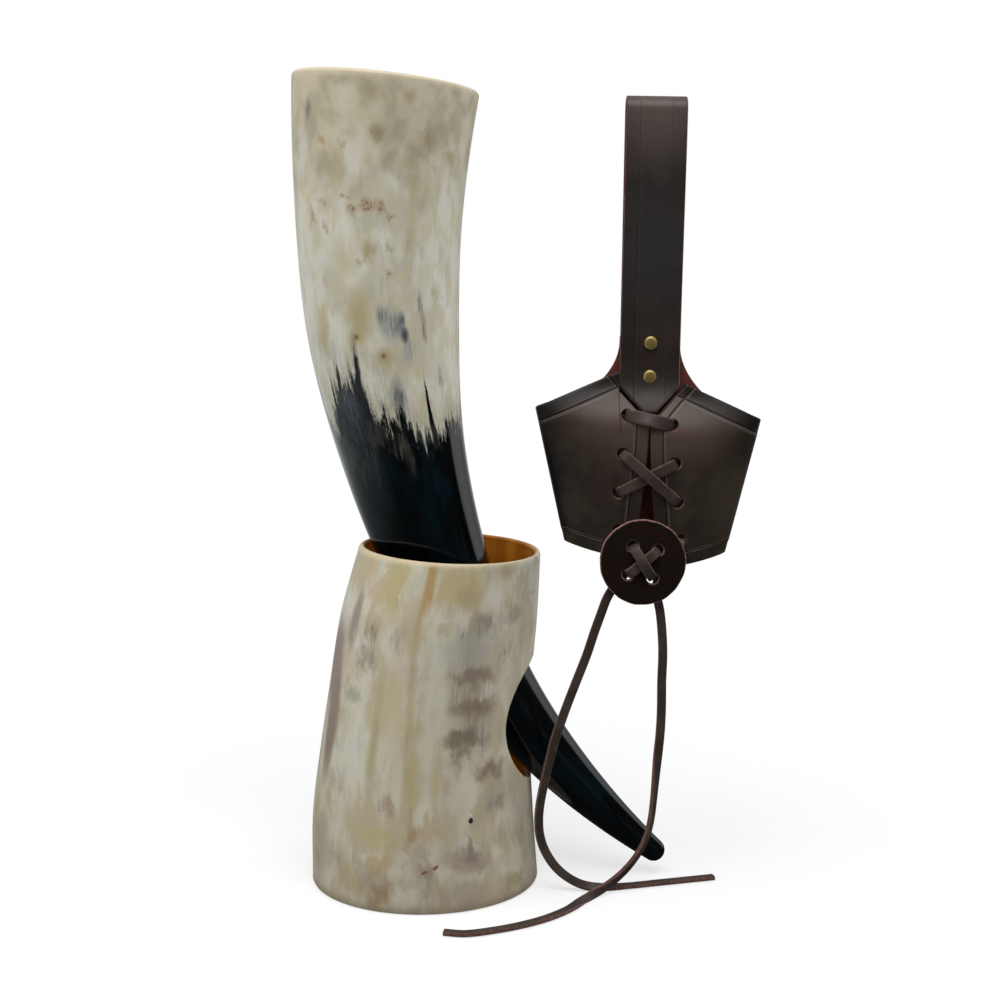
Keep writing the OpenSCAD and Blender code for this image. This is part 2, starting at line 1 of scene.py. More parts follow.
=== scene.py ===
"""Looks of a drinking horn, its horn stand and its leather belt holster.

Shapes are written in millimetres with the part's own sizes, and turned into
metres when a mesh is made.
"""
import math

import bmesh
import bpy
import numpy as np
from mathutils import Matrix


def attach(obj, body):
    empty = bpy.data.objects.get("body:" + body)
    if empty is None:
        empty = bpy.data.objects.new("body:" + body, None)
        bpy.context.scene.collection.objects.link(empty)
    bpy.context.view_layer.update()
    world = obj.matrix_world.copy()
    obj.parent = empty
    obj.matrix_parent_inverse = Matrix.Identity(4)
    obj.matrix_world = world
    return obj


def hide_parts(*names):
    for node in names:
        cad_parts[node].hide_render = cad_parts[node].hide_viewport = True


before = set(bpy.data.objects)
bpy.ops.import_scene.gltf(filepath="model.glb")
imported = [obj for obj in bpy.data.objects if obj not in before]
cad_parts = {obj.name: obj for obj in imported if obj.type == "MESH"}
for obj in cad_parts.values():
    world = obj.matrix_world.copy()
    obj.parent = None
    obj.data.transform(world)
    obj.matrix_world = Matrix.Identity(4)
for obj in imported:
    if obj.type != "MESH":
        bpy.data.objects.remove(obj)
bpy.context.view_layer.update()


# Numbers
def mix(a, b, t):
    return a + (b - a) * t


def ease(t):
    u = np.clip(t, 0.0, 1.0)
    return u * u * (3 - 2 * u)


def smooth_at(values, t):
    """Smooth curve through evenly spaced values, at shares t of the way."""
    v = np.asarray(values, float)
    t = np.asarray(t, float)
    n = len(v) - 1
    p = np.clip(t, 0, 1) * n
    k = np.minimum(np.floor(p).astype(int), n - 1)
    f = p - k
    b, c = v[k], v[k + 1]
    a = np.where(k == 0, 2 * b - c, v[np.maximum(k - 1, 0)])
    d = np.where(k + 2 > n, 2 * c - b, v[np.minimum(k + 2, n)])
    return (b + f * (c - a) / 2 + f**2 * (a - 2.5 * b + 2 * c - d / 2)
            + f**3 * (3 * b - a - 3 * c + d) / 2)


def unit(v):
    return v / np.linalg.norm(v, axis=-1, keepdims=True)


# Camera
def new_object(name, data):
    obj = bpy.data.objects.new(name, data)
    bpy.context.scene.collection.objects.link(obj)
    return obj


camera = new_object("camera", bpy.data.cameras.new("camera"))
camera.data.lens = 58
camera.data.sensor_width = 36
camera.data.clip_start = 0.01
camera.location = (0.0330, -0.6874, 0.2527)
camera.rotation_euler = (math.radians(82.85), 0, 0)
bpy.context.scene.camera = camera


# Meshes
def add_object(name, verts, faces, mats, body, replaces, index=None, facts=None,
               sharp=None):
    """Mesh object from points in millimetres, riding on a body, that takes the place
    of CAD nodes. index picks a material for each face, facts are values for each
    point that the materials read, sharp is an angle in degrees."""
    mesh = bpy.data.meshes.new(name)
    mesh.from_pydata((np.asarray(verts) * 0.001).tolist(), [], faces)
    for mat in mats:
        mesh.materials.append(mat)
    if index is not None:
        mesh.polygons.foreach_set("material_index", np.asarray(index, np.int32))
    mesh.polygons.foreach_set("use_smooth", np.ones(len(mesh.polygons), bool))
    for key, value in (facts or {}).items():
        value = np.asarray(value, float)
        kind = "FLOAT" if value.ndim == 1 else "FLOAT_VECTOR"
        att = mesh.attributes.new(key, kind, "POINT")
        att.data.foreach_set("value" if value.ndim == 1 else "vector", value.ravel())
    if sharp is not None:
        mesh.set_sharp_from_angle(angle=math.radians(sharp))
    mesh.update()
    obj = new_object(name, mesh)
    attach(obj, body)
    if replaces:
        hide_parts(*replaces)
    return obj


def grid_faces(n, m, wrap_n=False, wrap_m=False, start=0, flip=False):
    """Faces over n rows of m points each, rows and columns joined up if asked."""
    idx = start + np.arange(n * m).reshape(n, m)
    a = idx if wrap_n else idx[:-1]
    b = np.roll(idx, -1, 0) if wrap_n else idx[1:]
    if wrap_m:
        q = np.stack([a, np.roll(a, -1, 1), np.roll(b, -1, 1), b], -1)
    else:
        q = np.stack([a[:, :-1], a[:, 1:], b[:, 1:], b[:, :-1]], -1)
    q = q.reshape(-1, 4)
    return (q[:, ::-1] if flip else q).tolist()


def closed_faces(n, m):
    """Faces over n closed rings of m points each, and a cap at each end."""
    return (grid_faces(n, m, wrap_m=True)
            + [list(range(m))[::-1], list(range((n - 1) * m, n * m))])


def circle_steps(count):
    return np.arange(count) * 2 * np.pi / count


def turned(r, z, a):
    """Rings of radii r at heights z, at angles a, about the upright axis."""
    return np.stack([r * np.cos(a), r * np.sin(a), np.repeat(z[:, None], len(a), 1)], -1)


def cut(obj, cutters):
    """Takes cutter objects out of obj for good and removes them."""
    deps = bpy.context.evaluated_depsgraph_get()
    for c in cutters:
        mod = obj.modifiers.new("cut", "BOOLEAN")
        mod.operation = "DIFFERENCE"
        mod.solver = "EXACT"
        mod.material_mode = "TRANSFER"
        mod.object = c
    deps.update()
    new = bpy.data.meshes.new_from_object(obj.evaluated_get(deps), depsgraph=deps)
    old = obj.data
    obj.modifiers.clear()
    obj.data = new
    new.name = old.name
    for c in cutters:
        bpy.data.objects.remove(c)
    new.set_sharp_from_angle(angle=math.radians(38))


# Materials
def rgb(r, g, b):
    """Linear colour from display values 0 to 255."""
    def one(x):
        x /= 255
        return x / 12.92 if x <= 0.04045 else ((x + 0.055) / 1.055) ** 2.4
    return (one(r), one(g), one(b), 1.0)


class Graph:
    """Short way to write a node material, or the nodes of a world."""

    def __init__(self, name, owners=bpy.data.materials):
        self.owner = owners.new(name)
        self.owner.use_nodes = True
        self.tree = self.owner.node_tree
        self.tree.nodes.clear()

    def put(self, socket, value):
        if isinstance(value, bpy.types.NodeSocket):
            self.tree.links.new(value, socket)
        elif value is not None:
            socket.default_value = value

    def node(self, kind, *ins, **props):
        n = self.tree.nodes.new(kind)
        for k, v in props.items():
            setattr(n, k, v)
        for i, v in enumerate(ins):
            self.put(n.inputs[i], v)
        return n

    def named(self, kind, **sockets):
        """Node with its sockets set by their names, with _ for a space."""
        n = self.node(kind)
        for key, value in sockets.items():
            self.put(n.inputs[key.replace("_", " ")], value)
        return n

    def fact(self, name, out="Vector"):
        return self.node("ShaderNodeAttribute", attribute_name=name).outputs[out]

    def place(self):
        return self.node("ShaderNodeTexCoord").outputs["Object"]

    def centimetres(self):
        return self.vec("MULTIPLY", self.place(), (100, 100, 100))

    def vec(self, op, a, b=None, out=0):
        return self.node("ShaderNodeVectorMath", a, b, operation=op).outputs[out]

    def tall(self, v, k):
        """The place v with its height times k, which draws a pattern out upright."""
        return self.vec("MULTIPLY", v, (1, 1, k))

    def math(self, op, a, b=None, c=None):
        return self.node("ShaderNodeMath", a, b, c, operation=op).outputs[0]

    def times(self, a, b):
        return self.math("MULTIPLY", a, b)

    def plus(self, a, b):
        return self.math("ADD", a, b)

    def minus(self, a, b):
        return self.math("SUBTRACT", a, b)

    def line(self, x, slope, base):
        """slope times x, plus base."""
        return self.math("MULTIPLY_ADD", x, slope, base)

    def split(self, v):
        return self.node("ShaderNodeSeparateXYZ", v).outputs

    def noise(self, v, scale, detail=4.0, rough=0.5, bend=0.0, shift=None, out="Fac"):
        if shift is not None:
            v = self.vec("ADD", v, shift)
        return self.named("ShaderNodeTexNoise", Vector=v, Scale=scale, Detail=detail,
                          Roughness=rough, Distortion=bend).outputs[out]

    def cells(self, v, scale):
        n = self.named("ShaderNodeTexVoronoi", Vector=v, Scale=scale)
        return n.outputs["Distance"]

    def step(self, x, low, high, to_low=0.0, to_high=1.0):
        """Soft step from to_low to to_high, between low and high."""
        return self.node("ShaderNodeMapRange", x, low, high, to_low, to_high,
                         interpolation_type="SMOOTHSTEP").outputs[0]

    def mix(self, f, a, b):
        n = self.node("ShaderNodeMix", data_type="RGBA")
        for i, v in ((0, f), (6, a), (7, b)):
            self.put(n.inputs[i], v)
        return n.outputs[2]

    def blob(self, v, centre, radii, soft, share):
        """share in the middle of an ellipsoid, 0 outside it."""
        d = self.vec("MULTIPLY", self.vec("SUBTRACT", v, centre),
                     tuple(1 / r for r in radii))
        return self.step(self.vec("LENGTH", d, out=1), 1.0, 1.0 - soft, 0.0, share)

    def hatch(self, v, shift=(0, 0, 0)):
        """Fine upright strokes, about half of the ground."""
        return self.step(self.noise(self.tall(v, 0.05), 15, 3, 0.65, 0, shift), 0.42, 0.6)

    def curve(self, x, points):
        """Smooth curve through given points, all within 0 to 1."""
        n = self.named("ShaderNodeFloatCurve", Value=x)
        line = n.mapping.curves[0]
        line.points[0].location = points[0]
        line.points[-1].location = points[-1]
        for q in points[1:-1]:
            line.points.new(*q)
        for q in line.points:
            q.handle_type = "AUTO_CLAMPED"
        n.mapping.update()
        return n.outputs[0]

    def bump(self, height, distance, strength=1.0, normal=None):
        return self.named("ShaderNodeBump", Height=height, Distance=distance,
                          Strength=strength, Normal=normal).outputs[0]

    def output(self, kind, surface):
        self.tree.links.new(surface.outputs[0], self.node(kind).inputs[0])

    def finish(self, **sockets):
        self.output("ShaderNodeOutputMaterial",
                    self.named("ShaderNodeBsdfPrincipled", **sockets))
        return self.owner


def darker(g, colour, f, amount):
    """colour with its lightness moved by f (0 to 1, 0.5 is even) times amount."""
    k = g.line(g.minus(f, 0.5), amount, 1.0)
    n = g.node("ShaderNodeVectorMath", colour, operation="SCALE")
    g.put(n.inputs["Scale"], k)
    return n.outputs[0]


def warped(g, p, hair, side, along):
    """The place p, shifted a little so that patches get ragged, streaky borders."""
    n = g.noise(g.tall(p, 0.6), 1.7, 3.0, 0.6, out="Color")
    v = g.vec("MULTIPLY", g.vec("SUBTRACT", n, (0.5, 0.5, 0.5)), (4 * side, 0, 4 * side))
    h = g.node("ShaderNodeCombineXYZ", 0.0, 0.0, g.times(g.minus(hair, 0.5), 4 * along))
    return g.vec("ADD", p, g.vec("ADD", v, h.outputs[0]))


def patches(g, colour, q, rows, soft=0.9, over=None):
    """Lays tinted patches on colour: middle, reach, share and tint of each."""
    for centre, radii, share, tint in rows:
        f = g.blob(q, centre, radii, soft, share)
        if over is not None:
            f = g.times(f, over)
        colour = g.mix(f, colour, rgb(*tint))
    return colour


# The places of the patches below were worked out by scratch scripts from points
# picked on the photograph, and rounded. Their colours were chosen with the help of
# mean colours read there.
# Patches: middle, reach, share and display colour of each. Places are in
# centimetres, across the object, towards the back, and down the horn or up the stand.
# Olive and yellow stains on the cream
HORN_STAINS = (
    ((0.1, -3.7, 2.5), (0.5, 1, 0.5), 1, (160, 147, 114)),
    ((2.1, -3, 2.5), (0.45, 1, 0.75), 0.9, (164, 149, 116)),
    ((-0.15, -3.9, 0.8), (0.5, 1, 0.55), 0.7, (164, 151, 120)),
    ((1.3, -3.6, 0.8), (0.4, 1, 0.5), 0.7, (172, 153, 118)),
    ((0.65, -3.6, 3.4), (0.6, 1, 0.8), 0.7, (162, 155, 128)),
    ((1.5, -3.4, 3.6), (0.8, 1, 1.2), 0.7, (174, 160, 122)),
    ((3, -2.1, 3.1), (0.5, 1, 0.4), 0.8, (170, 153, 116)),
    ((-1.5, -3.3, 3.6), (0.6, 1, 1.5), 0.55, (180, 165, 128)),
    ((-2.1, -2.9, 2.8), (0.3, 1, 0.36), 0.8, (180, 148, 102)),
    ((-0.15, -3.5, 7), (0.55, 1, 0.8), 0.85, (170, 156, 114)),
    ((1.5, -3.2, 6.6), (0.5, 1, 0.7), 0.6, (180, 168, 128)),
    ((-0.7, -3.3, 9.5), (1, 1, 1.7), 0.9, (178, 165, 122)),
    ((2.4, -2.5, 9), (0.3, 1, 0.7), 0.6, (168, 151, 110)),
    ((-2.3, -2.4, 10.4), (0.4, 1, 1.6), 0.7, (174, 159, 112)),
    ((0.2, -3.1, 11.5), (0.7, 1, 1.1), 0.6, (174, 161, 120)))
# Groups of brown specks: middle, reach and share
HORN_SPECKS = (
    ((-1.15, -3.3, 4.95), (0.2, 0.9, 0.16), 1),
    ((-0.82, -3.4, 5.35), (0.28, 1, 0.4), 1),
    ((-0.28, -3.5, 5.25), (0.42, 1, 0.42), 1),
    ((0.05, -3.5, 5.1), (0.7, 1, 0.3), 0.6),
    ((0.34, -3.5, 5.35), (0.28, 1, 0.36), 0.95),
    ((0.66, -3.4, 5.65), (0.26, 1, 0.24), 0.95),
    ((-2.5, -2.5, 5.65), (0.17, 0.7, 0.7), 0.9),
    ((-1.97, -2.9, 5.1), (0.26, 0.7, 0.24), 0.8),
    ((-1.93, -2.9, 6.1), (0.14, 0.7, 0.36), 0.9),
    ((-1.25, -3.3, 2.85), (0.28, 0.8, 0.34), 0.7),
    ((0.66, -3.4, 6.8), (0.24, 1, 0.36), 0.6),
    ((-0.6, -3.4, 7.4), (0.34, 1, 0.26), 0.6),
    ((0.66, -3.4, 8), (0.28, 0.8, 0.34), 0.7),
    ((-2.05, -2.8, 8.1), (0.24, 0.8, 0.34), 0.5))
# Grey and blue marks, broken up by the hatching
HORN_HATCHED = (
    ((-2.83, -2.54, 1.6), (0.2, 0.5, 0.55), 1, (92, 104, 110)),
    ((0.55, -3.1, 10), (0.66, 0.7, 1.1), 0.8, (112, 120, 128)),
    ((0.15, -3.2, 9.5), (0.26, 0.6, 0.6), 0.85, (84, 92, 98)),
    ((1, -3, 9.85), (0.2, 0.6, 0.5), 0.95, (58, 66, 86)),
    ((1.06, -3, 10.5), (0.24, 0.6, 0.5), 1, (30, 38, 66)),
    ((1.75, -2.75, 9.3), (0.17, 0.6, 0.8), 0.9, (74, 84, 86)),
    ((1.85, -2.6, 10.3), (0.14, 0.6, 1), 0.85, (74, 84, 88)),
    ((1.2, -2.9, 11.2), (0.3, 0.6, 0.8), 0.6, (112, 122, 130)),
    ((1.95, -3, 5.2), (0.3, 0.6, 0.5), 0.5, (136, 140, 132)),
    ((-2, -2.9, 7.6), (0.5, 0.6, 1.1), 0.3, (140, 146, 144)),
    ((-1.05, -2.9, 11.1), (0.22, 0.6, 1.3), 0.9, (64, 72, 74)),
    ((0.5, -2.95, 13.1), (0.42, 0.6, 1.3), 0.95, (52, 60, 70)),
    ((2.25, -2.1, 12.6), (0.14, 0.6, 1), 0.75, (84, 92, 96)))
# Grey and blue marks that are whole
HORN_MARKS = (
    ((1.06, -3, 10.5), (0.2, 0.6, 0.5), 0.85, (44, 56, 80)),
    ((0.85, -3, 10.1), (0.34, 0.6, 0.8), 0.6, (84, 94, 104)),
    ((0.3, -3.1, 9.9), (0.5, 0.6, 0.9), 0.35, (120, 128, 132)),
    ((1, -3, 11.3), (0.3, 0.6, 0.9), 0.3, (126, 134, 142)),
    ((-3.2, -0.66, 9.8), (0.12, 0.14, 1.4), 1, (30, 36, 38)),
    ((-3.05, -0.66, 11.6), (0.12, 0.16, 1.7), 1, (26, 32, 34)),
    ((-2.86, -0.62, 13.2), (0.14, 0.18, 1.4), 1, (24, 30, 32)),
    ((0.5, -2.9, 13.1), (0.3, 0.6, 1.1), 0.6, (62, 70, 80)))
# Black tongues that reach up into the cream: middle, reach and length
HORN_TONGUES = (
    ((-1.05, -2.9, 12), (0.2, 0.9, 2.6), 1),
    ((-1.88, -2.4, 12.4), (0.1, 0.9, 2.4), 1.1),
    ((1.6, -2.4, 14), (0.11, 0.9, 3.2), 2.4),
    ((0.5, -2.9, 13.8), (0.2, 0.9, 2), 0.6))
# Grey and teal patches in the black
HORN_BLACK = (
    ((-1.6, -2.4, 13.2), (0.85, 1.2, 2), 0.95, (66, 71, 78)),
    ((-2.3, -1.6, 15), (0.6, 1.2, 3), 0.7, (56, 60, 62)),
    ((-0.7, -2.7, 14.4), (0.7, 1, 0.9), 0.7, (62, 60, 56)),
    ((0.1, -2.8, 15), (0.6, 1, 0.8), 0.8, (84, 82, 74)),
    ((1.4, -2.3, 14.9), (0.5, 1, 0.7), 0.7, (62, 64, 62)),
    ((-1.4, -2.3, 15.4), (0.5, 1, 0.8), 0.7, (52, 56, 58)),
    ((0.35, -2.6, 15.9), (0.3, 1, 0.5), 0.5, (70, 66, 56)),
    ((-0.7, -2.6, 15.9), (0.6, 1, 1.4), 0.8, (4, 30, 37)),
    ((1.3, -2.1, 17.2), (0.6, 1, 1.6), 0.8, (4, 27, 34)),
    ((1.2, -2.4, 15.4), (0.5, 1, 0.9), 0.7, (12, 20, 36)),
    ((2.5, -1.6, 15.6), (0.4, 1, 1.4), 0.6, (40, 44, 46)))
# Cream, olive and tan grounds
STAND_GROUNDS = (
    ((-2.2, -4, 13.5), (1, 1.6, 1.9), 0.9, (182, 169, 124)),
    ((-3.1, -3.3, 13.4), (0.5, 1.4, 0.8), 0.75, (188, 168, 142)),
    ((0.7, -4.4, 13.7), (1.7, 1.7, 1.6), 0.95, (184, 167, 126)),
    ((1.2, -4.3, 13.2), (0.7, 1.5, 0.9), 0.6, (168, 152, 116)),
    ((-1.2, -4.3, 13.9), (0.45, 1.3, 0.8), 0.7, (188, 180, 164)),
    ((0.35, -4.5, 11.8), (0.4, 1.3, 0.5), 0.6, (174, 160, 124)),
    ((1.7, -4.1, 10.8), (1.7, 1.5, 1.1), 0.6, (190, 186, 176)),
    ((-1.5, -4.2, 9), (1, 1.6, 2.4), 0.75, (194, 181, 146)),
    ((-1.2, -4.3, 6.6), (0.7, 1.5, 2.4), 0.6, (196, 186, 158)),
    ((0.2, -4.5, 7.2), (0.3, 1.3, 2.4), 0.6, (196, 190, 166)),
    ((1.4, -4.3, 4.6), (0.7, 1.4, 1.1), 0.7, (198, 193, 176)),
    ((3.9, -2.3, 4), (0.8, 1.2, 2.2), 0.5, (178, 170, 150)),
    ((-1.6, -4.2, 3), (0.95, 1.4, 0.7), 0.85, (186, 174, 128)),
    ((-1.55, -4.2, 2), (0.7, 1.3, 0.6), 0.8, (182, 158, 114)),
    ((-2.7, -3.6, 1.2), (0.75, 1.3, 0.9), 0.8, (180, 166, 126)),
    ((-3.9, -2.4, 2.4), (0.9, 1.2, 1.9), 0.55, (176, 164, 150)),
    ((0.4, -4.5, 3.6), (0.5, 1.3, 1), 0.7, (180, 158, 116)),
    ((1.9, -4, 2.1), (1.3, 1.4, 0.9), 0.8, (160, 142, 126)),
    ((1.8, -4.1, 0.7), (1.3, 1.4, 0.8), 0.7, (164, 148, 132)),
    ((-0.65, -4.5, 1.3), (0.55, 1.3, 0.5), 0.7, (186, 175, 152)),
    ((0.7, -4.4, 0.8), (0.4, 1.3, 0.6), 0.6, (186, 174, 152)),
    ((3.3, -3.1, 1.7), (1, 1.3, 0.36), 0.8, (192, 182, 162)),
    ((3.6, -2.7, 0.8), (0.5, 1.1, 0.5), 0.8, (170, 154, 112)))
# Brown and grey clouds
STAND_CLOUDS = (
    ((1.9, -4.1, 8.3), (1.7, 1.6, 3), 0.65, (158, 145, 126)),
    ((1.5, -4.2, 11.2), (1.5, 1.5, 1.3), 0.6, (160, 154, 141)),
    ((3, -3.2, 4.6), (1.2, 1.5, 1.6), 0.6, (162, 150, 134)),
    ((1.9, -4, 9.8), (1.3, 1.6, 0.62), 1, (142, 127, 110)),
    ((2, -4, 8.5), (1.4, 1.6, 0.62), 1, (138, 122, 105)),
    ((1.75, -4.1, 7.25), (1.5, 1.6, 0.58), 1, (128, 115, 98)),
    ((1.65, -4.1, 6.6), (0.4, 1.4, 0.5), 0.9, (140, 124, 108)),
    ((2.7, -3.6, 5.75), (0.95, 1.5, 0.56), 1, (140, 124, 109)),
    ((3.15, -3.2, 4.3), (0.45, 1.2, 0.6), 0.8, (148, 134, 120)),
    ((2, -4, 2.7), (0.3, 1.3, 1.1), 0.8, (136, 122, 110)),
    ((2, -4, 12), (0.5, 1.3, 0.6), 0.75, (144, 136, 130)),
    ((3.4, -3, 12.2), (0.45, 1.2, 0.6), 0.65, (150, 141, 123)),
    ((2.9, -3.4, 14.3), (0.7, 1.2, 0.35), 0.6, (170, 146, 118)),
    ((-2.95, -3.4, 10.4), (0.5, 1.2, 0.8), 0.8, (150, 140, 124)),
    ((-3.2, -3.1, 8.8), (0.5, 1.2, 0.5), 0.8, (152, 148, 132)),
    ((-1.3, -4.3, 4.5), (0.4, 1.3, 0.6), 0.7, (156, 137, 114)),
    ((-1.55, -4.2, 0.85), (0.7, 1.3, 0.9), 0.9, (154, 131, 102)),
    ((-0.2, -4.5, 3.2), (0.6, 1.3, 0.7), 0.8, (162, 135, 96)),
    ((0.45, -4.5, 1.7), (0.5, 1.3, 0.7), 0.7, (152, 131, 108)))
# Upright stripes: mauve at the left, amber and olive
STAND_STRIPES = (
    ((-4.3, -1.5, 10), (0.5, 1.6, 2.8), 1, (144, 124, 112)),
    ((-4.05, -2.1, 7.6), (0.42, 1.3, 3.6), 1, (144, 124, 110)),
    ((-3.65, -2.6, 11.9), (0.3, 1, 1.7), 0.9, (148, 136, 128)),
    ((-0.62, -4.45, 13.8), (0.32, 1.2, 1.9), 0.85, (172, 140, 82)),
    ((-3.45, -2.9, 14.3), (0.16, 1, 0.6), 0.7, (204, 168, 122)))
# Thinner and longer upright stripes
STAND_THIN_STRIPES = (
    ((-0.8, -4.4, 12.2), (0.2, 1, 1.6), 0.8, (180, 154, 108)),
    ((-0.75, -4.4, 10.4), (0.24, 1, 2.4), 0.6, (182, 160, 118)),
    ((-0.65, -4.4, 8), (0.26, 1, 2.6), 0.7, (182, 160, 116)),
    ((-0.4, -4.5, 5.3), (0.5, 1.3, 2.9), 0.8, (178, 160, 114)),
    ((-2.05, -4, 6.5), (0.34, 1.4, 3.2), 0.8, (170, 158, 120)),
    ((0.65, -4.4, 5.8), (0.42, 1.3, 2.5), 0.7, (178, 163, 122)),
    ((-2.1, -4, 9.2), (0.4, 1.2, 1.6), 0.5, (174, 160, 124)))
# Chalky patches
STAND_CHALK = (
    ((-3, -3.4, 6.6), (0.85, 1.4, 3.4), 0.95, (204, 202, 190)),
    ((2.35, -3.8, 13.2), (0.85, 1.4, 1), 0.9, (206, 202, 192)),
    ((-4.2, -1.6, 12.4), (0.4, 1.2, 1.4), 0.95, (208, 206, 198)),
    ((-3.2, -3.2, 11.1), (0.55, 1.1, 1.1), 1, (212, 208, 198)),
    ((2.45, -3.7, 9.15), (0.7, 1.3, 0.5), 0.95, (210, 206, 196)),
    ((2.5, -3.7, 6.4), (0.8, 1.2, 0.36), 0.85, (204, 197, 178)),
    ((-2.75, -3.6, 2.9), (0.4, 1.2, 0.6), 0.8, (202, 196, 176)),
    ((-3.1, -3.3, 14.1), (0.17, 1, 0.8), 0.9, (210, 205, 190)),
    ((-1.75, -4.15, 13.5), (0.11, 1, 1.4), 0.85, (206, 200, 182)),
    ((0.3, -4.5, 9.8), (0.8, 1.4, 2), 0.6, (204, 198, 182)),
    ((3.4, -2.9, 9.4), (0.6, 1.2, 3), 0.55, (202, 196, 184)),
    ((-1.4, -4.2, 10.4), (0.7, 1.2, 1), 0.6, (200, 192, 176)))
# Dark patches, broken up by the hatching
STAND_HATCHED = (
    ((-2.85, -3.5, 11.4), (0.42, 1.1, 0.9), 0.85, (120, 111, 100)),
    ((-1.55, -4.2, 11.5), (0.5, 1.1, 1), 0.7, (138, 131, 119)),
    ((1.25, -4.3, 11.7), (0.14, 1, 0.7), 0.8, (120, 117, 104)),
    ((3.25, -3.1, 11.5), (0.14, 1, 0.6), 0.8, (124, 117, 103)),
    ((3.15, -3.2, 10.6), (0.16, 1, 0.6), 0.8, (128, 119, 104)),
    ((2.2, -3.9, 7.8), (1.1, 1.2, 1.9), 0.7, (124, 111, 96)),
    ((1.6, -4.2, 9.6), (1, 1.2, 1.9), 0.6, (136, 126, 112)),
    ((1.9, -4, 11.9), (1.2, 1.2, 1.2), 0.55, (136, 128, 116)),
    ((3.3, -3, 3), (0.7, 1.2, 0.8), 0.5, (140, 130, 118)),
    ((4.1, -1.8, 13), (0.06, 1, 0.4), 0.9, (96, 78, 60)))
# A dark pit with a pale spot over it
STAND_PIT = (
    ((2.04, -4, 3.8), (0.11, 1, 0.15), 1, (40, 28, 36)),
    ((2.05, -4, 4.02), (0.06, 1, 0.07), 0.8, (214, 212, 206)))
# A short red scratch in two strokes
STAND_SCRATCH = (
    ((0.22, -4.5, 1.74), (0.15, 1, 0.07), 0.85, (124, 54, 24)),
    ((0.4, -4.5, 1.69), (0.1, 1, 0.04), 0.5, (140, 84, 50)),
    ((0.66, -4.4, 1.72), (0.15, 1, 0.09), 0.9, (124, 52, 22)))


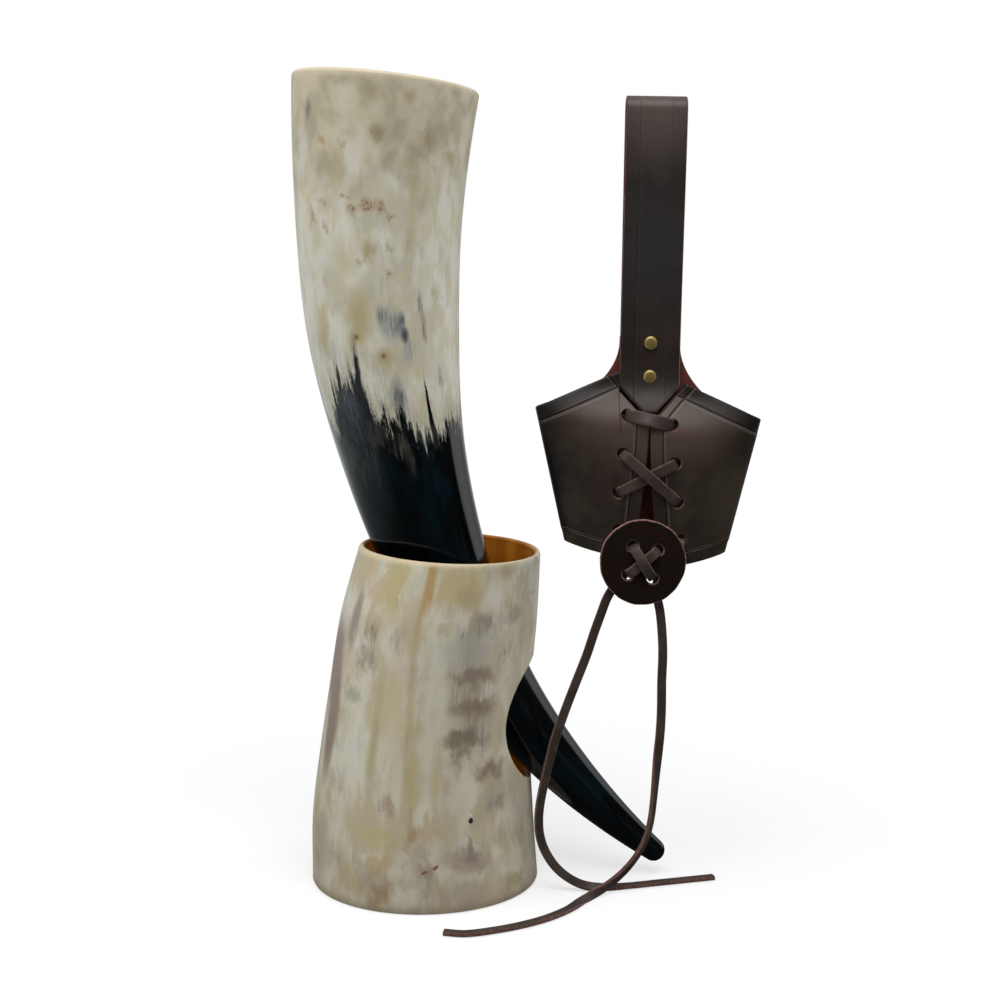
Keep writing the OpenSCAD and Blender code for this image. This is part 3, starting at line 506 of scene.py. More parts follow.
def horn_material():
    """Cream horn over black horn. The fact "lie" is the place in centimetres on
    the horn as if it were straight: across, across, and down from the rim."""
    g = Graph("polished_horn")
    p = g.fact("lie")
    x, y, s = g.split(p)
    long = g.tall(p, 0.07)
    wide = g.tall(p, 0.5)
    streak = g.noise(long, 4.2, 6, 0.62)
    hair = g.noise(g.tall(p, 0.03), 17, 3, 0.6)
    hatch = g.hatch(p)
    q = warped(g, p, hair, 0.2, 0.6)
    soft = warped(g, p, hair, 0.24, 0.08)
    # Cool cream ground with warm clouds, warmer and more even near the rim
    blotch = g.noise(wide, 0.8, 3, 0.5, 0.3, (3, 1, 8))
    warm = g.noise(wide, 1.3, 3, 0.55, 0.2, (11, 4, 2))
    cream = g.mix(g.step(blotch, 0.38, 0.64), rgb(216, 213, 198), rgb(198, 191, 166))
    cream = g.mix(g.step(warm, 0.5, 0.68, 0, 0.65), cream, rgb(198, 187, 150))
    cream = g.mix(g.step(g.noise(wide, 1.5, 3, 0.55, 0.2, (1, 9, 5)), 0.54, 0.7, 0, 0.5),
                  cream, rgb(178, 178, 164))
    cream = g.mix(g.step(s, 5.0, 1.5, 0, 0.65), cream, rgb(196, 185, 156))
    fine = g.step(s, 1.5, 8.0, 0.35, 1.0)
    grey = g.times(g.step(g.noise(long, 2.4, 4, 0.6, 0, (7, 7, 7)), 0.5, 0.68),
                   g.step(s, 4.0, 9.0, 0.05, 0.5))
    cream = g.mix(g.times(grey, hatch), cream, rgb(158, 162, 154))
    cream = darker(g, cream, streak, g.times(fine, 0.2))
    cream = darker(g, cream, hair, g.times(fine, 0.13))
    # Olive and yellow stains
    olive = g.noise(g.tall(p, 0.8), 1.2, 2, 0.5, 0, (4, 4, 4))
    cream = g.mix(g.times(g.step(olive, 0.42, 0.72), g.step(s, 6.0, 3.5, 0, 0.75)),
                  cream, rgb(164, 156, 130))
    cream = patches(g, cream, soft, HORN_STAINS)
    # Brown specks in small groups, each on a faint stain
    grain = g.noise(g.tall(p, 0.45), 20, 3, 0.75)
    dots = g.step(grain, 0.52, 0.6)
    for centre, radii, share in HORN_SPECKS:
        f = g.blob(soft, centre, radii, 0.9, share)
        cream = g.mix(g.times(f, 0.5), cream, rgb(160, 124, 88))
        cream = g.mix(g.times(f, dots), cream, rgb(112, 74, 42))
    # Hatched grey and blue marks
    cream = patches(g, cream, p, HORN_HATCHED, 0.9, g.step(hatch, 0.0, 1.0, 0.35, 1.0))
    cream = patches(g, cream, p, HORN_MARKS)
    # Two eyes: an olive ring of about a centimetre round a dark spot
    for at in ((-0.9, -3.1, 10.4), (0.12, -3.1, 11.25)):
        cream = g.mix(g.blob(p, at, (0.5, 0.6, 0.5), 0.9, 0.7), cream, rgb(176, 152, 96))
        cream = g.mix(g.blob(p, at, (0.14, 0.6, 0.17), 0.8, 0.75), cream,
                      rgb(100, 78, 38))
    cream = g.mix(g.step(s, 0.4, 0.1, 0, 0.7), cream, rgb(214, 199, 172))
    # Jagged line between cream and black, by the angle round the horn
    turn = g.math("ARCTAN2", y, x)
    share = g.line(turn, 1 / (2 * math.pi), 0.5)
    base = g.curve(share, [
        (0, 0.02), (0.03, 0.1), (0.055, 0.5), (0.09, 0.62), (0.108, 0.5), (0.13, 0.38),
        (0.16, 0.36), (0.19, 0.33), (0.205, 0.45), (0.225, 0.66), (0.236, 0.58),
        (0.246, 0.7), (0.267, 0.68), (0.3, 0.74), (0.322, 0.81), (0.344, 0.78),
        (0.369, 0.81), (0.408, 0.74), (0.44, 0.76), (0.6, 0.72), (0.85, 0.5), (1, 0.02)])
    edge = g.line(base, 6.0, 10.0)
    jag = g.noise(g.tall(p, 0.05), 6.5, 5, 0.7)
    dust = g.noise(g.tall(p, 0.35), 24, 2, 0.6)
    edge = g.line(g.minus(jag, 0.5), -5.0, edge)
    edge = g.line(g.minus(dust, 0.5), -0.9, edge)
    for centre, radii, lift in HORN_TONGUES:
        edge = g.minus(edge, g.blob(p, centre, radii, 0.9, lift))
    past = g.minus(s, edge)
    dark = g.step(past, -0.35, 0.4)
    haze = g.times(g.step(past, -1.8, 0.2, 0, 0.5), hatch)
    cream = g.mix(haze, cream, rgb(112, 118, 118))
    cloud = g.noise(g.tall(p, 0.25), 1.3, 4, 0.6, 0.4, (5, 5, 1))
    black = g.mix(g.step(cloud, 0.42, 0.68), rgb(3, 4, 5), rgb(3, 19, 24))
    broken = g.step(g.noise(long, 6.5, 4, 0.65, 0, (1, 1, 4)), 0.42, 0.56, 0.15, 1.0)
    black = patches(g, black, q, HORN_BLACK, 0.9, broken)
    smoke = g.noise(g.tall(p, 0.3), 2.2, 5, 0.65, 0.3, (2, 7, 3))
    black = g.mix(g.times(g.step(smoke, 0.5, 0.7), g.step(s, 17.5, 14.5, 0, 0.6)),
                  black, rgb(74, 72, 67))
    colour = g.mix(dark, cream, black)
    inner = g.fact("inner", "Fac")
    colour = g.mix(g.times(inner, 0.5), colour, rgb(206, 176, 124))
    rough = g.line(hair, 0.16, 0.34)
    rough = g.line(dark, -0.32, rough)
    height = g.plus(g.times(streak, 0.6), g.times(hair, 0.25))
    height = g.times(height, g.line(dark, -0.9, 1.0))
    return g.finish(Base_Color=colour, Roughness=rough, IOR=1.54,
                    Subsurface_Weight=g.line(dark, -0.15, 0.15),
                    Subsurface_Radius=(0.004, 0.003, 0.0018), Subsurface_Scale=0.6,
                    Normal=g.bump(height, 0.0002, 0.4))


def stand_material():
    """Pale streaked horn. Inside, amber is painted as light shining through the wall,
    with painted shade at the front and lower down, and a faint painted glow. "lie" is the
    place in centimetres on the stand as if it were a straight tube of 4.5 cm, "inner" is
    0 outside, 1 inside."""
    g = Graph("stand_horn")
    p = g.fact("lie")
    x, y, z = g.split(p)
    inner = g.fact("inner", "Fac")
    long = g.tall(p, 0.05)
    wide = g.tall(p, 0.55)
    streak = g.noise(long, 2.6, 5, 0.6, 0, (4, 2, 1))
    hair = g.noise(g.tall(p, 0.02), 14, 3, 0.65)
    hatch = g.hatch(p, (3, 5, 2))
    q = warped(g, p, hair, 0.36, 0.12)
    up = warped(g, p, hair, 0.04, 0.7)
    blotch = g.noise(wide, 0.85, 4, 0.55, 0.3, (7, 3, 2))
    colour = g.mix(g.step(blotch, 0.4, 0.62), rgb(203, 197, 177), rgb(184, 173, 144))
    grey = g.noise(wide, 1.2, 4, 0.6, 0.3, (2, 8, 6))
    colour = g.mix(g.step(grey, 0.52, 0.7, 0, 0.6), colour, rgb(168, 158, 142))
    # Cream, olive and tan grounds
    colour = patches(g, colour, q, STAND_GROUNDS, 0.65)
    low = g.noise(wide, 1.1, 4, 0.6, 0.3, (5, 1, 9))
    colour = g.mix(g.times(g.step(z, 4.2, 1.0), g.step(low, 0.42, 0.66, 0.0, 0.5)),
                   colour, rgb(156, 141, 123))
    # Brown and grey clouds
    colour = patches(g, colour, q, STAND_CLOUDS, 0.85)
    # Upright stripes: mauve at the left, amber, olive and chalk
    colour = patches(g, colour, up, STAND_STRIPES, 0.6)
    colour = patches(g, colour, up, STAND_THIN_STRIPES)
    chalk = g.step(hatch, 0.0, 1.0, 0.3, 1.0)
    colour = patches(g, colour, q, STAND_CHALK, 0.9, chalk)
    colour = patches(g, colour, q, STAND_HATCHED, 0.9, hatch)
    fleck = g.times(g.step(hair, 0.6, 0.7), g.step(grey, 0.42, 0.6, 0, 0.4))
    colour = g.mix(fleck, colour, rgb(122, 108, 96))
    colour = darker(g, colour, hair, 0.15)
    colour = darker(g, colour, streak, 0.12)
    # A dark pit with a pale spot over it, and a short red scratch in two strokes
    colour = patches(g, colour, p, STAND_PIT, 0.4)
    drop = g.line(x, -0.5, g.times(g.noise(p, 9.0, 2), 0.12))
    rag = g.vec("ADD", p, g.node("ShaderNodeCombineXYZ", 0.0, 0.0, drop).outputs[0])
    colour = patches(g, colour, rag, STAND_SCRATCH, 0.5)
    # Rim, foot and inside
    colour = g.mix(g.step(z, 0.7, 0.1, 0, 0.5), colour, rgb(160, 142, 114))
    colour = g.mix(g.step(z, 14.5, 14.68, 0, 0.7), colour, rgb(208, 190, 156))
    # Inside: amber painted as light shining through the wall, and darker lower down as
    # painted shade
    amber = g.mix(g.step(g.noise(long, 1.0, 4, 0.5), 0.35, 0.65), rgb(204, 130, 34),
                  rgb(164, 94, 18))
    amber = g.mix(g.step(z, 14.2, 12.4), amber, rgb(96, 30, 6))
    # Painted shade: the front of the inside is dark, while its back keeps the amber
    # painted as light through the wall
    shade = g.step(y, 0.6, -1.6)
    amber = g.mix(shade, amber, rgb(40, 22, 10))
    inside = g.step(inner, 0.45, 0.85)
    colour = g.mix(inside, colour, amber)
    rough = g.line(hair, 0.2, 0.38)
    height = g.plus(g.times(hair, 0.5), g.times(streak, 0.5))
    # Painted glow: the back of the inside gives off a faint amber light, as if lit
    # through the wall
    glow = g.mix(g.times(inside, g.minus(1.0, shade)), (0, 0, 0, 1), rgb(190, 108, 14))
    return g.finish(Base_Color=colour, Roughness=rough, IOR=1.54,
                    Subsurface_Weight=0.15, Subsurface_Radius=(0.004, 0.0028, 0.0015),
                    Subsurface_Scale=0.6, Emission_Color=glow, Emission_Strength=0.06,
                    Normal=g.bump(height, 0.0003, 0.35))


def leather_material(name, base, light, grain=1.0, rough=0.46, lines=(), tints=()):
    """Smooth waxed leather. lines are grooves: the fact and the part of it that
    holds a distance in centimetres, the distance of the groove, and its depth;
    each groove is painted dark as shade, with a painted highlight line beside it,
    and a line with a depth below 0 is a painted highlight line alone.
    tints are patches in centimetres: middle, reach, share and colour."""
    g = Graph(name)
    o = g.centimetres()
    pull = g.noise(o, 0.9, 4, 0.55, 0.4, (3, 3, 3))
    fine = g.noise(o, 26, 3, 0.6)
    pebble = g.cells(o, 14)
    colour = g.mix(g.step(pull, 0.4, 0.68), base, light)
    colour = patches(g, colour, o, tints)
    height = g.line(pebble, 0.35, g.times(fine, 0.35))
    normal = g.bump(height, 0.0001 * grain, 0.35)
    ro = g.line(fine, 0.14, rough - 0.07)
    groove, lip = None, None
    facts = {}
    for fact, part, at, deep in lines:
        if fact not in facts:
            facts[fact] = g.split(g.fact(fact))
        d = g.minus(facts[fact][part], at)
        f = g.times(g.step(g.math("ABSOLUTE", d), 0.05, 0.005), max(deep, 0.0))
        e = g.math("ABSOLUTE", g.minus(d, 0.055 if deep > 0 else 0.0))
        e = g.times(g.step(e, 0.04, 0.0), 0.4 * deep if deep > 0 else -deep)
        groove = f if groove is None else g.math("MAXIMUM", groove, f)
        lip = e if lip is None else g.math("MAXIMUM", lip, e)
    if "marks" in facts:
        # The band above the crease is darker
        band = g.step(facts["marks"][0], 0.6, 0.5, 0.0, 0.8)
        colour = g.mix(band, colour, rgb(20, 15, 11))
    colour = darker(g, colour, fine, 0.2)
    # Painted shade darkens the grooves, and painted highlight lines lie beside them
    if groove is not None:
        colour = g.mix(g.times(lip, 0.55), colour, rgb(150, 132, 120))
        colour = g.mix(g.times(groove, 0.7), colour, rgb(8, 5, 5))
        normal = g.bump(g.times(groove, -1), 0.0006, 1.0, normal)
    return g.finish(Base_Color=colour, Roughness=ro, IOR=1.42, Normal=normal)


def fibre_material(name, base, light, rough=0.85, fuzz=0.0004, ior=1.4, sheen=0.2,
                   tints=()):
    """Raw leather: cut edges and the rough inner side."""
    g = Graph(name)
    o = g.centimetres()
    a = g.noise(o, 6, 5, 0.7)
    b = g.noise(o, 38, 3, 0.7)
    colour = g.mix(g.step(a, 0.35, 0.68), base, light)
    colour = patches(g, darker(g, colour, b, 0.5), o, tints)
    return g.finish(Base_Color=colour, Roughness=rough, IOR=ior,
                    Normal=g.bump(g.plus(a, b), fuzz, 0.6),
                    Sheen_Weight=sheen, Sheen_Roughness=0.5)


def brass_material():
    """Aged brass. "inner" is 0 on the crown and 1 at the rim, which is painted dark as
    shade.
    """
    g = Graph("aged_brass")
    o = g.centimetres()
    a = g.noise(o, 9, 4, 0.6)
    b = g.noise(o, 45, 3, 0.6)
    colour = g.mix(g.step(a, 0.35, 0.65), rgb(206, 186, 118), rgb(176, 154, 90))
    flag = g.fact("inner", "Fac")
    # The crown is a darker olive; the rim is painted dark as shade
    colour = g.mix(g.step(flag, 0.1, 0.3, 0.75, 0.0), colour, rgb(128, 110, 54))
    colour = g.mix(g.step(flag, 0.6, 0.9, 0, 0.85), colour, rgb(52, 38, 18))
    return g.finish(Base_Color=colour, Metallic=0.7,
                    Roughness=g.line(b, 0.14, 0.38),
                    Normal=g.bump(b, 0.00003, 0.4))


# Creases: grooves painted dark as shade; a line with a depth below 0 is a painted
# highlight line
WING_LINES = (
    ("marks", 0, 0.58, 1.0), ("marks", 0, 0.70, -0.45), ("marks", 1, 0.36, 1.0),
    ("marks", 1, 0.46, -0.5), ("marks", 2, 0.52, 0.8), ("marks", 2, 0.62, -0.35),
    ("marks2", 0, 0.56, 1.0), ("marks2", 1, -0.09, 1.0), ("marks", 1, 0.03, 1.0))
STRAP_LINES = (("marks2", 1, 0.60, 0.16), ("marks2", 2, 0.60, 0.16))
# Painted light and shade on the wings: sheen painted lighter beside the lacing and at the
# lower right, painted shade darkest at the left edge, a painted shadow under the lace
# bar, and two reddish patches on the left wing
WING_PAINTED_LIGHT_AND_TINTS = (
    ((8.3, -2.0, 20.5), (3.4, 2.5, 2.4), 0.8, (86, 71, 60)),
    ((10.9, -2.0, 20.2), (3.2, 2.5, 2.8), 0.75, (86, 71, 60)),
    ((9.3, -2.0, 18.6), (1.6, 2.5, 2.2), 0.45, (80, 65, 54)),
    ((13.0, -1.5, 16.6), (2.0, 2.5, 3.0), 0.6, (66, 56, 44)),
    ((5.2, -1.5, 17.2), (1.1, 2.5, 5.0), 1.0, (4, 3, 2)),
    ((9.45, -4.4, 19.42), (1.1, 1.5, 0.26), 0.85, (8, 6, 5)),
    ((7.6, -2.0, 17.6), (1.4, 2.5, 1.6), 0.4, (48, 32, 24)),
    ((6.2, -2.0, 20.2), (0.9, 2.5, 0.5), 0.5, (44, 26, 20)))
# Painted light on the strap: lighter at its top with a painted highlight where it folds
# over, painted sheen at its point and a greyish painted sheen in the middle; and a
# reddish patch by the rivets
STRAP_PAINTED_LIGHT_AND_TINTS = (
    ((9.7, -1.5, 33.6), (3.0, 2.5, 4.2), 0.85, (88, 76, 70)),
    ((9.7, -1.0, 34.7), (3.0, 2.5, 1.1), 0.85, (116, 104, 98)),
    ((9.5, -2.5, 20.6), (1.3, 2.5, 1.2), 0.6, (76, 64, 56)),
    ((9.7, -1.5, 27.5), (3.0, 2.5, 4.6), 0.6, (45, 43, 46)),
    ((9.6, -1.5, 22.6), (1.2, 2.5, 1.6), 0.5, (40, 24, 18)))
MAT_HORN = horn_material()
MAT_STAND = stand_material()
MAT_LEATHER = leather_material("dark_leather", rgb(40, 30, 22), rgb(52, 42, 33),
                               lines=WING_LINES, tints=WING_PAINTED_LIGHT_AND_TINTS)
MAT_STRAP = leather_material("strap_leather", rgb(36, 27, 22), rgb(46, 37, 31),
                             lines=STRAP_LINES, tints=STRAP_PAINTED_LIGHT_AND_TINTS)
# Raw edges in the V are painted near black as the shadow in the gap beside the strap's
# point
MAT_RAW = fibre_material("raw_edge", rgb(92, 52, 44), rgb(138, 96, 86), tints=(
    ((9.45, -3.2, 20.45), (1.5, 3.0, 1.15), 1.0, (6, 4, 3)),))
MAT_SUEDE = fibre_material("rough_side", rgb(84, 36, 25), rgb(106, 50, 36), 0.95)
# The lace is darker where it crosses and beside the disc
LACE_TINTS = (
    ((9.5, -4.0, 17.6), (1.8, 2.0, 1.4), 0.5, (36, 30, 26)),
    ((8.4, -3.0, 11.9), (1.4, 4.0, 1.9), 0.85, (24, 18, 15)),
    ((10.9, -3.0, 11.9), (1.2, 4.0, 1.9), 0.85, (24, 18, 15)))
MAT_LACE = leather_material("lace_leather", rgb(56, 46, 40), rgb(72, 60, 53), 1.4, 0.5,
                            tints=LACE_TINTS)
MAT_LACE_RAW = fibre_material("lace_raw_edge", rgb(84, 54, 46), rgb(120, 84, 74))
MAT_DISC = fibre_material("disc_face", rgb(21, 16, 6), rgb(30, 11, 6), 0.8, 0.0003, 1.25,
                          0.0)
MAT_DISC_RAW = fibre_material("disc_raw_edge", rgb(92, 54, 46), rgb(158, 116, 108))
MAT_BRASS = brass_material()


# Horn
# Length, diameters and leans as in the CAD. They began as a scratch script's fit to
# the photograph's outline, rounded.
HORN_L = 367.0
HORN_D = [78.5, 70.5, 64, 53, 43.5, 32.5, 22, 10]
HORN_LEAN = [-6, 1, 11.5, 23, 38.5, 52]
RIM_X, RIM_Z = -14.5, 341.5
TIP_R = 5.0
LIP = 1.5
# The hollow: its depth, the length of its round end, and its walls at rim and end
DEPTH, DEPTH_END = 240.0, 24.0
WALL_RIM, WALL_END = 3.0, 8.0


def horn_line():
    """Middle line of the horn, summed in short steps along its leans."""
    s = np.linspace(0, HORN_L, 1469)
    step = s[1] - s[0]
    a = np.radians(smooth_at(HORN_LEAN, (s[:-1] + step / 2) / HORN_L))
    x = RIM_X + np.concatenate([[0], np.cumsum(np.sin(a) * step)])
    z = RIM_Z - np.concatenate([[0], np.cumsum(np.cos(a) * step)])
    return s, x, z


LINE_S, LINE_X, LINE_Z = horn_line()


def horn_r(s):
    """Outer radius at the length s from the rim."""
    return smooth_at(HORN_D, np.asarray(s) / HORN_L) / 2


def horn_ring(s, r, a):
    """Rings of radii r about the middle line at lengths s, at angles a."""
    s, r = np.asarray(s, float), np.asarray(r, float)
    lean = np.radians(smooth_at(HORN_LEAN, s / HORN_L))
    past = np.maximum(0, s - HORN_L)
    x = np.interp(s, LINE_S, LINE_X) + past * np.sin(lean)
    z = np.interp(s, LINE_S, LINE_Z) - past * np.cos(lean)
    ca = np.cos(a)
    return np.stack([x[:, None] + (r * np.cos(lean))[:, None] * ca,
                     r[:, None] * np.sin(a),
                     z[:, None] + (r * np.sin(lean))[:, None] * ca], -1)


def hollow_r(s):
    """Radius of the hollow, which ends round."""
    u = np.maximum(0, s - (DEPTH - DEPTH_END)) / DEPTH_END
    wall = mix(WALL_RIM, WALL_END, s / DEPTH)
    return (horn_r(s) - wall) * np.sqrt(np.maximum(0, 1 - u * u))


def make_horn():
    """Rings from the hollow's end up its wall, over the round lip, down the outside
    and round the tip."""
    cols = 168
    a = circle_steps(cols)
    q = np.linspace(0, 1, 26)[1:]
    deep = DEPTH - DEPTH_END * (1 - np.cos(q * np.pi / 2))
    inside = np.concatenate([[DEPTH - 0.02], deep[deep > 216.5], np.linspace(215, 3, 72)])
    inside = np.unique(inside)[::-1]
    turn = np.radians(np.linspace(0, 180, 13))
    lip_s = LIP * (1 - np.sin(turn))
    lip_r = horn_r(LIP) - LIP * (1 + np.cos(turn))
    out = np.linspace(LIP, HORN_L, 250)[1:]
    cap = np.radians(np.linspace(0, 89, 12))[1:]
    s = np.concatenate([inside, lip_s, out, HORN_L + TIP_R * np.sin(cap)])
    r = np.concatenate([hollow_r(inside), lip_r, horn_r(out), TIP_R * np.cos(cap)])
    inner = np.concatenate([np.ones(len(inside)), 0.5 + 0.5 * np.cos(turn),
                            np.zeros(len(out) + len(cap))])
    return add_object("horn_body", horn_ring(s, r, a).reshape(-1, 3),
                      closed_faces(len(s), cols), [MAT_HORN], "horn", ["horn"],
                      facts={"lie": turned(r[:, None], s, a).reshape(-1, 3) / 10,
                             "inner": np.repeat(inner, cols)})


# Stand
ST_H = 147.0
ST_D = [99, 96.5, 91.5, 87.5, 85, 78]
ST_LEAN = [0, -0.07, 0.035, 0.26, 0.58, 1]
MOUTH_SLOPE = math.tan(math.radians(1.6))
# How far the rim is worn down, from which height up, and over which height
RIM_DROP, DROP_FROM, DROP_RUN = 2.2, 118, 28
# Radius of the straight tube that the patterns are laid on
TUBE_R = 45


# Sideways place of the stand's middle, its outer and its inner radius at height z
def st_x(z):
    return 11.5 * smooth_at(ST_LEAN, np.asarray(z) / ST_H)


def st_r(z):
    return smooth_at(ST_D, np.asarray(z) / ST_H) / 2


def st_in(z):
    return st_r(z) - mix(3.6, 2.6, np.asarray(z) / ST_H)


def side_hole():
    """Height and radius of the side hole, and the sideways place it turns about."""
    s = np.arange(40, 71) * HORN_L / 70
    x = np.interp(s, LINE_S, LINE_X)
    z = np.interp(s, LINE_S, LINE_Z)
    lean = np.radians(smooth_at(HORN_LEAN, s / HORN_L))
    r = horn_r(s)
    ux, uz = x - r * np.cos(lean), z - r * np.sin(lean)
    vx, vz = x + r * np.cos(lean), z + r * np.sin(lean)
    middle = np.interp(0, x - st_x(z) - st_r(z), z)
    # A little clearance below the horn, and room above it for drawing it out
    gap, room = 0.3, 2
    low = np.interp(gap, ux - st_x(uz) - st_r(uz), uz) - gap
    high = np.interp(-gap, vx - st_x(vz) - st_in(vz), vz) + room
    return (low + high) / 2, (high - low) / 2, float(st_x(middle))


def sloped(z, aside):
    """Height of a wall point: the mouth slopes down a little towards the hole."""
    return z - aside * MOUTH_SLOPE * (z / ST_H) ** 4


def make_stand():
    """Wall of level rings. A square window round the side hole is left out of
    the rings and filled with rings that run from the square to the hole. The
    rim is worn lower at the front right."""
    zc, hr, x0 = side_hole()
    soft = 0.7
    w = hr * 1.32
    tilt = math.tan(math.radians(3))
    nw, nrest = 28, 120

    def wall(eta, z, r):
        """Wall point on the side of the hole, eta across from the hole's axis."""
        y = eta - (r - 2) * tilt
        for _ in range(4):
            x = st_x(z) + np.sqrt(np.maximum(r * r - y * y, 0))
            y = eta - (x - x0) * tilt
        return x, y

    eta = np.linspace(-w, w, nw + 1)

    def angles(z, r):
        """Column angles of one ring: even steps across the window, then round."""
        x, y = wall(eta, z, r)
        a = np.arctan2(y, x - st_x(z))
        rest = np.linspace(a[-1], a[0] + 2 * np.pi, nrest + 1)[1:-1]
        return np.concatenate([a, rest])

    # Rows of the wall as height, radius, and 0 outside to 1 inside
    foot, edge, below = 0.9, 1.3, 13
    z_out = np.concatenate([np.linspace(foot, zc - w, below + 1)[:-1],
                            np.linspace(zc - w, zc + w, nw + 1),
                            np.linspace(zc + w, ST_H - edge, 26)[1:]])
    rim = np.radians(np.linspace(0, 180, 13))[1:-1]
    rows = [(z, float(st_r(z)), 0.0) for z in z_out]
    rows += [(ST_H - edge + edge * math.sin(a),
              float(st_r(ST_H)) - edge * (1 - math.cos(a)), 0.5 - 0.5 * math.cos(a))
             for a in rim]
    rows += [(z, float(st_in(z)), 1.0) for z in z_out[::-1]]
    rows += [(z, float(st_in(0)) + k, 0.8) for z, k in ((0.25, 0.35), (0.0, 0.9))]
    rows += [(z, float(st_r(0)) - k, 0.2) for z, k in ((0.0, 0.9), (0.25, 0.35))]
    pts = []
    for z, r, _ in rows:
        a = angles(min(max(z, foot), ST_H - edge), r)
        aside = r * np.cos(a)
        pts.append(np.stack([st_x(z) + aside, r * np.sin(a), sloped(z, aside)], -1))
    pts = np.array(pts)
    n, m = pts.shape[:2]
    inner = np.repeat([row[2] for row in rows], m)
    faces = np.array(grid_faces(n, m, True, True)).reshape(n, m, 4)
    keep = np.ones((n, m), bool)
    window_in = 2 * len(z_out) + len(rim) - 1 - (below + nw)
    for first in (below, window_in):
        keep[first:first + nw, :nw] = False
    faces = faces[keep].tolist()
    # Strip from the outer square through the hole to the inner square
    one = np.ones(nw)
    t = np.linspace(-1, 1, nw + 1)[:-1]
    sq = np.concatenate([np.stack([t, -one], -1), np.stack([one, t], -1),
                         np.stack([-t, one], -1), np.stack([-one, -t], -1)]) * w
    th = np.arctan2(sq[:, 1], sq[:, 0])
    circle = np.stack([np.cos(th), np.sin(th)], -1)
    wall_t = 3.1
    share = soft / wall_t
    run = np.linspace(0, 1, 10)
    half = [(mix(sq, circle * (hr + soft), f), 0.0) for f in ease(run) * 0.4 + run * 0.6]
    half += [(circle * (hr + soft * (1 - math.sin(a))), share * (1 - math.cos(a)))
             for a in np.radians([22.5, 45, 67.5, 90])]
    strip = half + [(circle * hr, 0.5)] + [(q, 1 - v) for q, v in half[::-1]]
    more, flag = [], []
    for q, v in strip:
        z = zc + q[:, 1]
        xo, yo = wall(q[:, 0], z, st_r(z))
        xi, yi = wall(q[:, 0], z, st_in(z))
        x, y = mix(xo, xi, v), mix(yo, yi, v)
        more.append(np.stack([x, y, sloped(z, x - st_x(z))], -1))
        flag.append(np.full(len(x), v))
    verts = np.concatenate([pts.reshape(-1, 3), np.concatenate(more)])
    inner = np.concatenate([inner, np.concatenate(flag)])
    faces += grid_faces(len(more), len(sq), wrap_m=True, start=n * m)
    turn = np.arctan2(verts[:, 1], verts[:, 0] - st_x(verts[:, 2]))
    front_right = (0.5 + 0.5 * np.cos(turn + math.radians(60))) ** 1.5

    def worn(z):
        return RIM_DROP * front_right * ease((z - DROP_FROM) / DROP_RUN)

    verts[:, 2] -= worn(verts[:, 2])
    lie = verts.copy()
    lie[:, 2] += worn(verts[:, 2])
    level = np.clip(lie[:, 2], 0, ST_H)
    lie[:, 0] -= st_x(level)
    lie[:, :2] *= (TUBE_R / st_r(level))[:, None]
    obj = add_object("stand_wall", verts, faces, [MAT_STAND], "stand", ["stand"],
                     facts={"lie": lie / 10, "inner": inner})
    bm = bmesh.new()
    bm.from_mesh(obj.data)
    bmesh.ops.remove_doubles(bm, verts=bm.verts, dist=0.00004)
    bmesh.ops.recalc_face_normals(bm, faces=bm.faces)
    bm.to_mesh(obj.data)
    bm.free()
    return obj


# Holster
HOL = np.array([94.5, -10.0, 148.0])
LEAN = math.radians(0.9)
TOP_W, LOW_W, SLEEVE_H, BULGE = 93.0, 66.5, 57.0, 9.5
DIP, RISE, STEP = 6.0, 13.5, 3.8
NECK_H, FLARE, STRAP_W = 88.0, 11.0, 25.0
PANEL_T = 2.4
NECK_Y = PANEL_T / 2 + 0.3
RIVETS = {"upper": 86.0, "lower": 72.0}
RIVET_R = 3.0
# The leather bends out from the neck to the sleeve below the lower rivet
BEND_TOP, BEND_RUN = RIVETS["lower"] - RIVET_R - 0.3, 20
# Gap between the wings at the bottom and at the top
GAP_LOW, GAP_TOP = 8.0, 0.6
RISE_SHARE = RISE / (TOP_W / 2 - STRAP_W / 2 - 4)
# Lace holes: radius, height of the top pair, step down to the next pair, how far
# the top and the bottom pair are apart, how far the bottom left one is moved in
HOLE_R, HOLE_TOP, HOLE_STEP = 2.5, 54.5, 16.2
APART_TOP, APART_LOW, LEFT_IN = 19.0, 28.0, 2.2
# Width of a wing's flat part, from the inner corner to the front edge
WING_FLAT = 14.0
# The strap: thickness, gap of the loop, heights of its point, of the point's
# shoulders and of its top and end, half width of the blunt point, its lift off the neck
STRAP_T, LOOP_GAP = 2.2, 7.0
POINT_Z, SHOULDER_Z, LOOP_Z, STRAP_END_Z = 57.0, 68.5, 187.0, 84.0
POINT_HALF, POINT_LIFT, LIFT_RUN = 2.4, 1.3, 24.0
# Distances from a rounded edge at which rows of points lie
EDGE = [0.0, 0.12, 0.35, 0.7]
# Distance of what is far from every crease
FAR = 99.0
# Inner corner and slanted cut of the left and the right wing: places across, heights
CUTS = {-1: ([0.3, 12.7, 12.9], [50.5, 63.8, 72.1]), 1: ([0.3, 14.3], [54.3, 70.2])}
NECK_A = math.asin((STRAP_W + 0.2) / TOP_W)
FLARE_A = math.asin((STRAP_W + 2 * FLARE) / TOP_W)
FLARE_H = SLEEVE_H + RISE * 0.65


def rotate(n):
    """Directions of the holster's own frame in the whole object's frame."""
    c, s = math.cos(LEAN), math.sin(LEAN)
    return np.stack([n[..., 0] * c + n[..., 2] * s, n[..., 1],
                     n[..., 2] * c - n[..., 0] * s], -1)


def hung(p):
    """Points of the holster's own frame in the whole object's frame."""
    return rotate(np.asarray(p, float)) + HOL


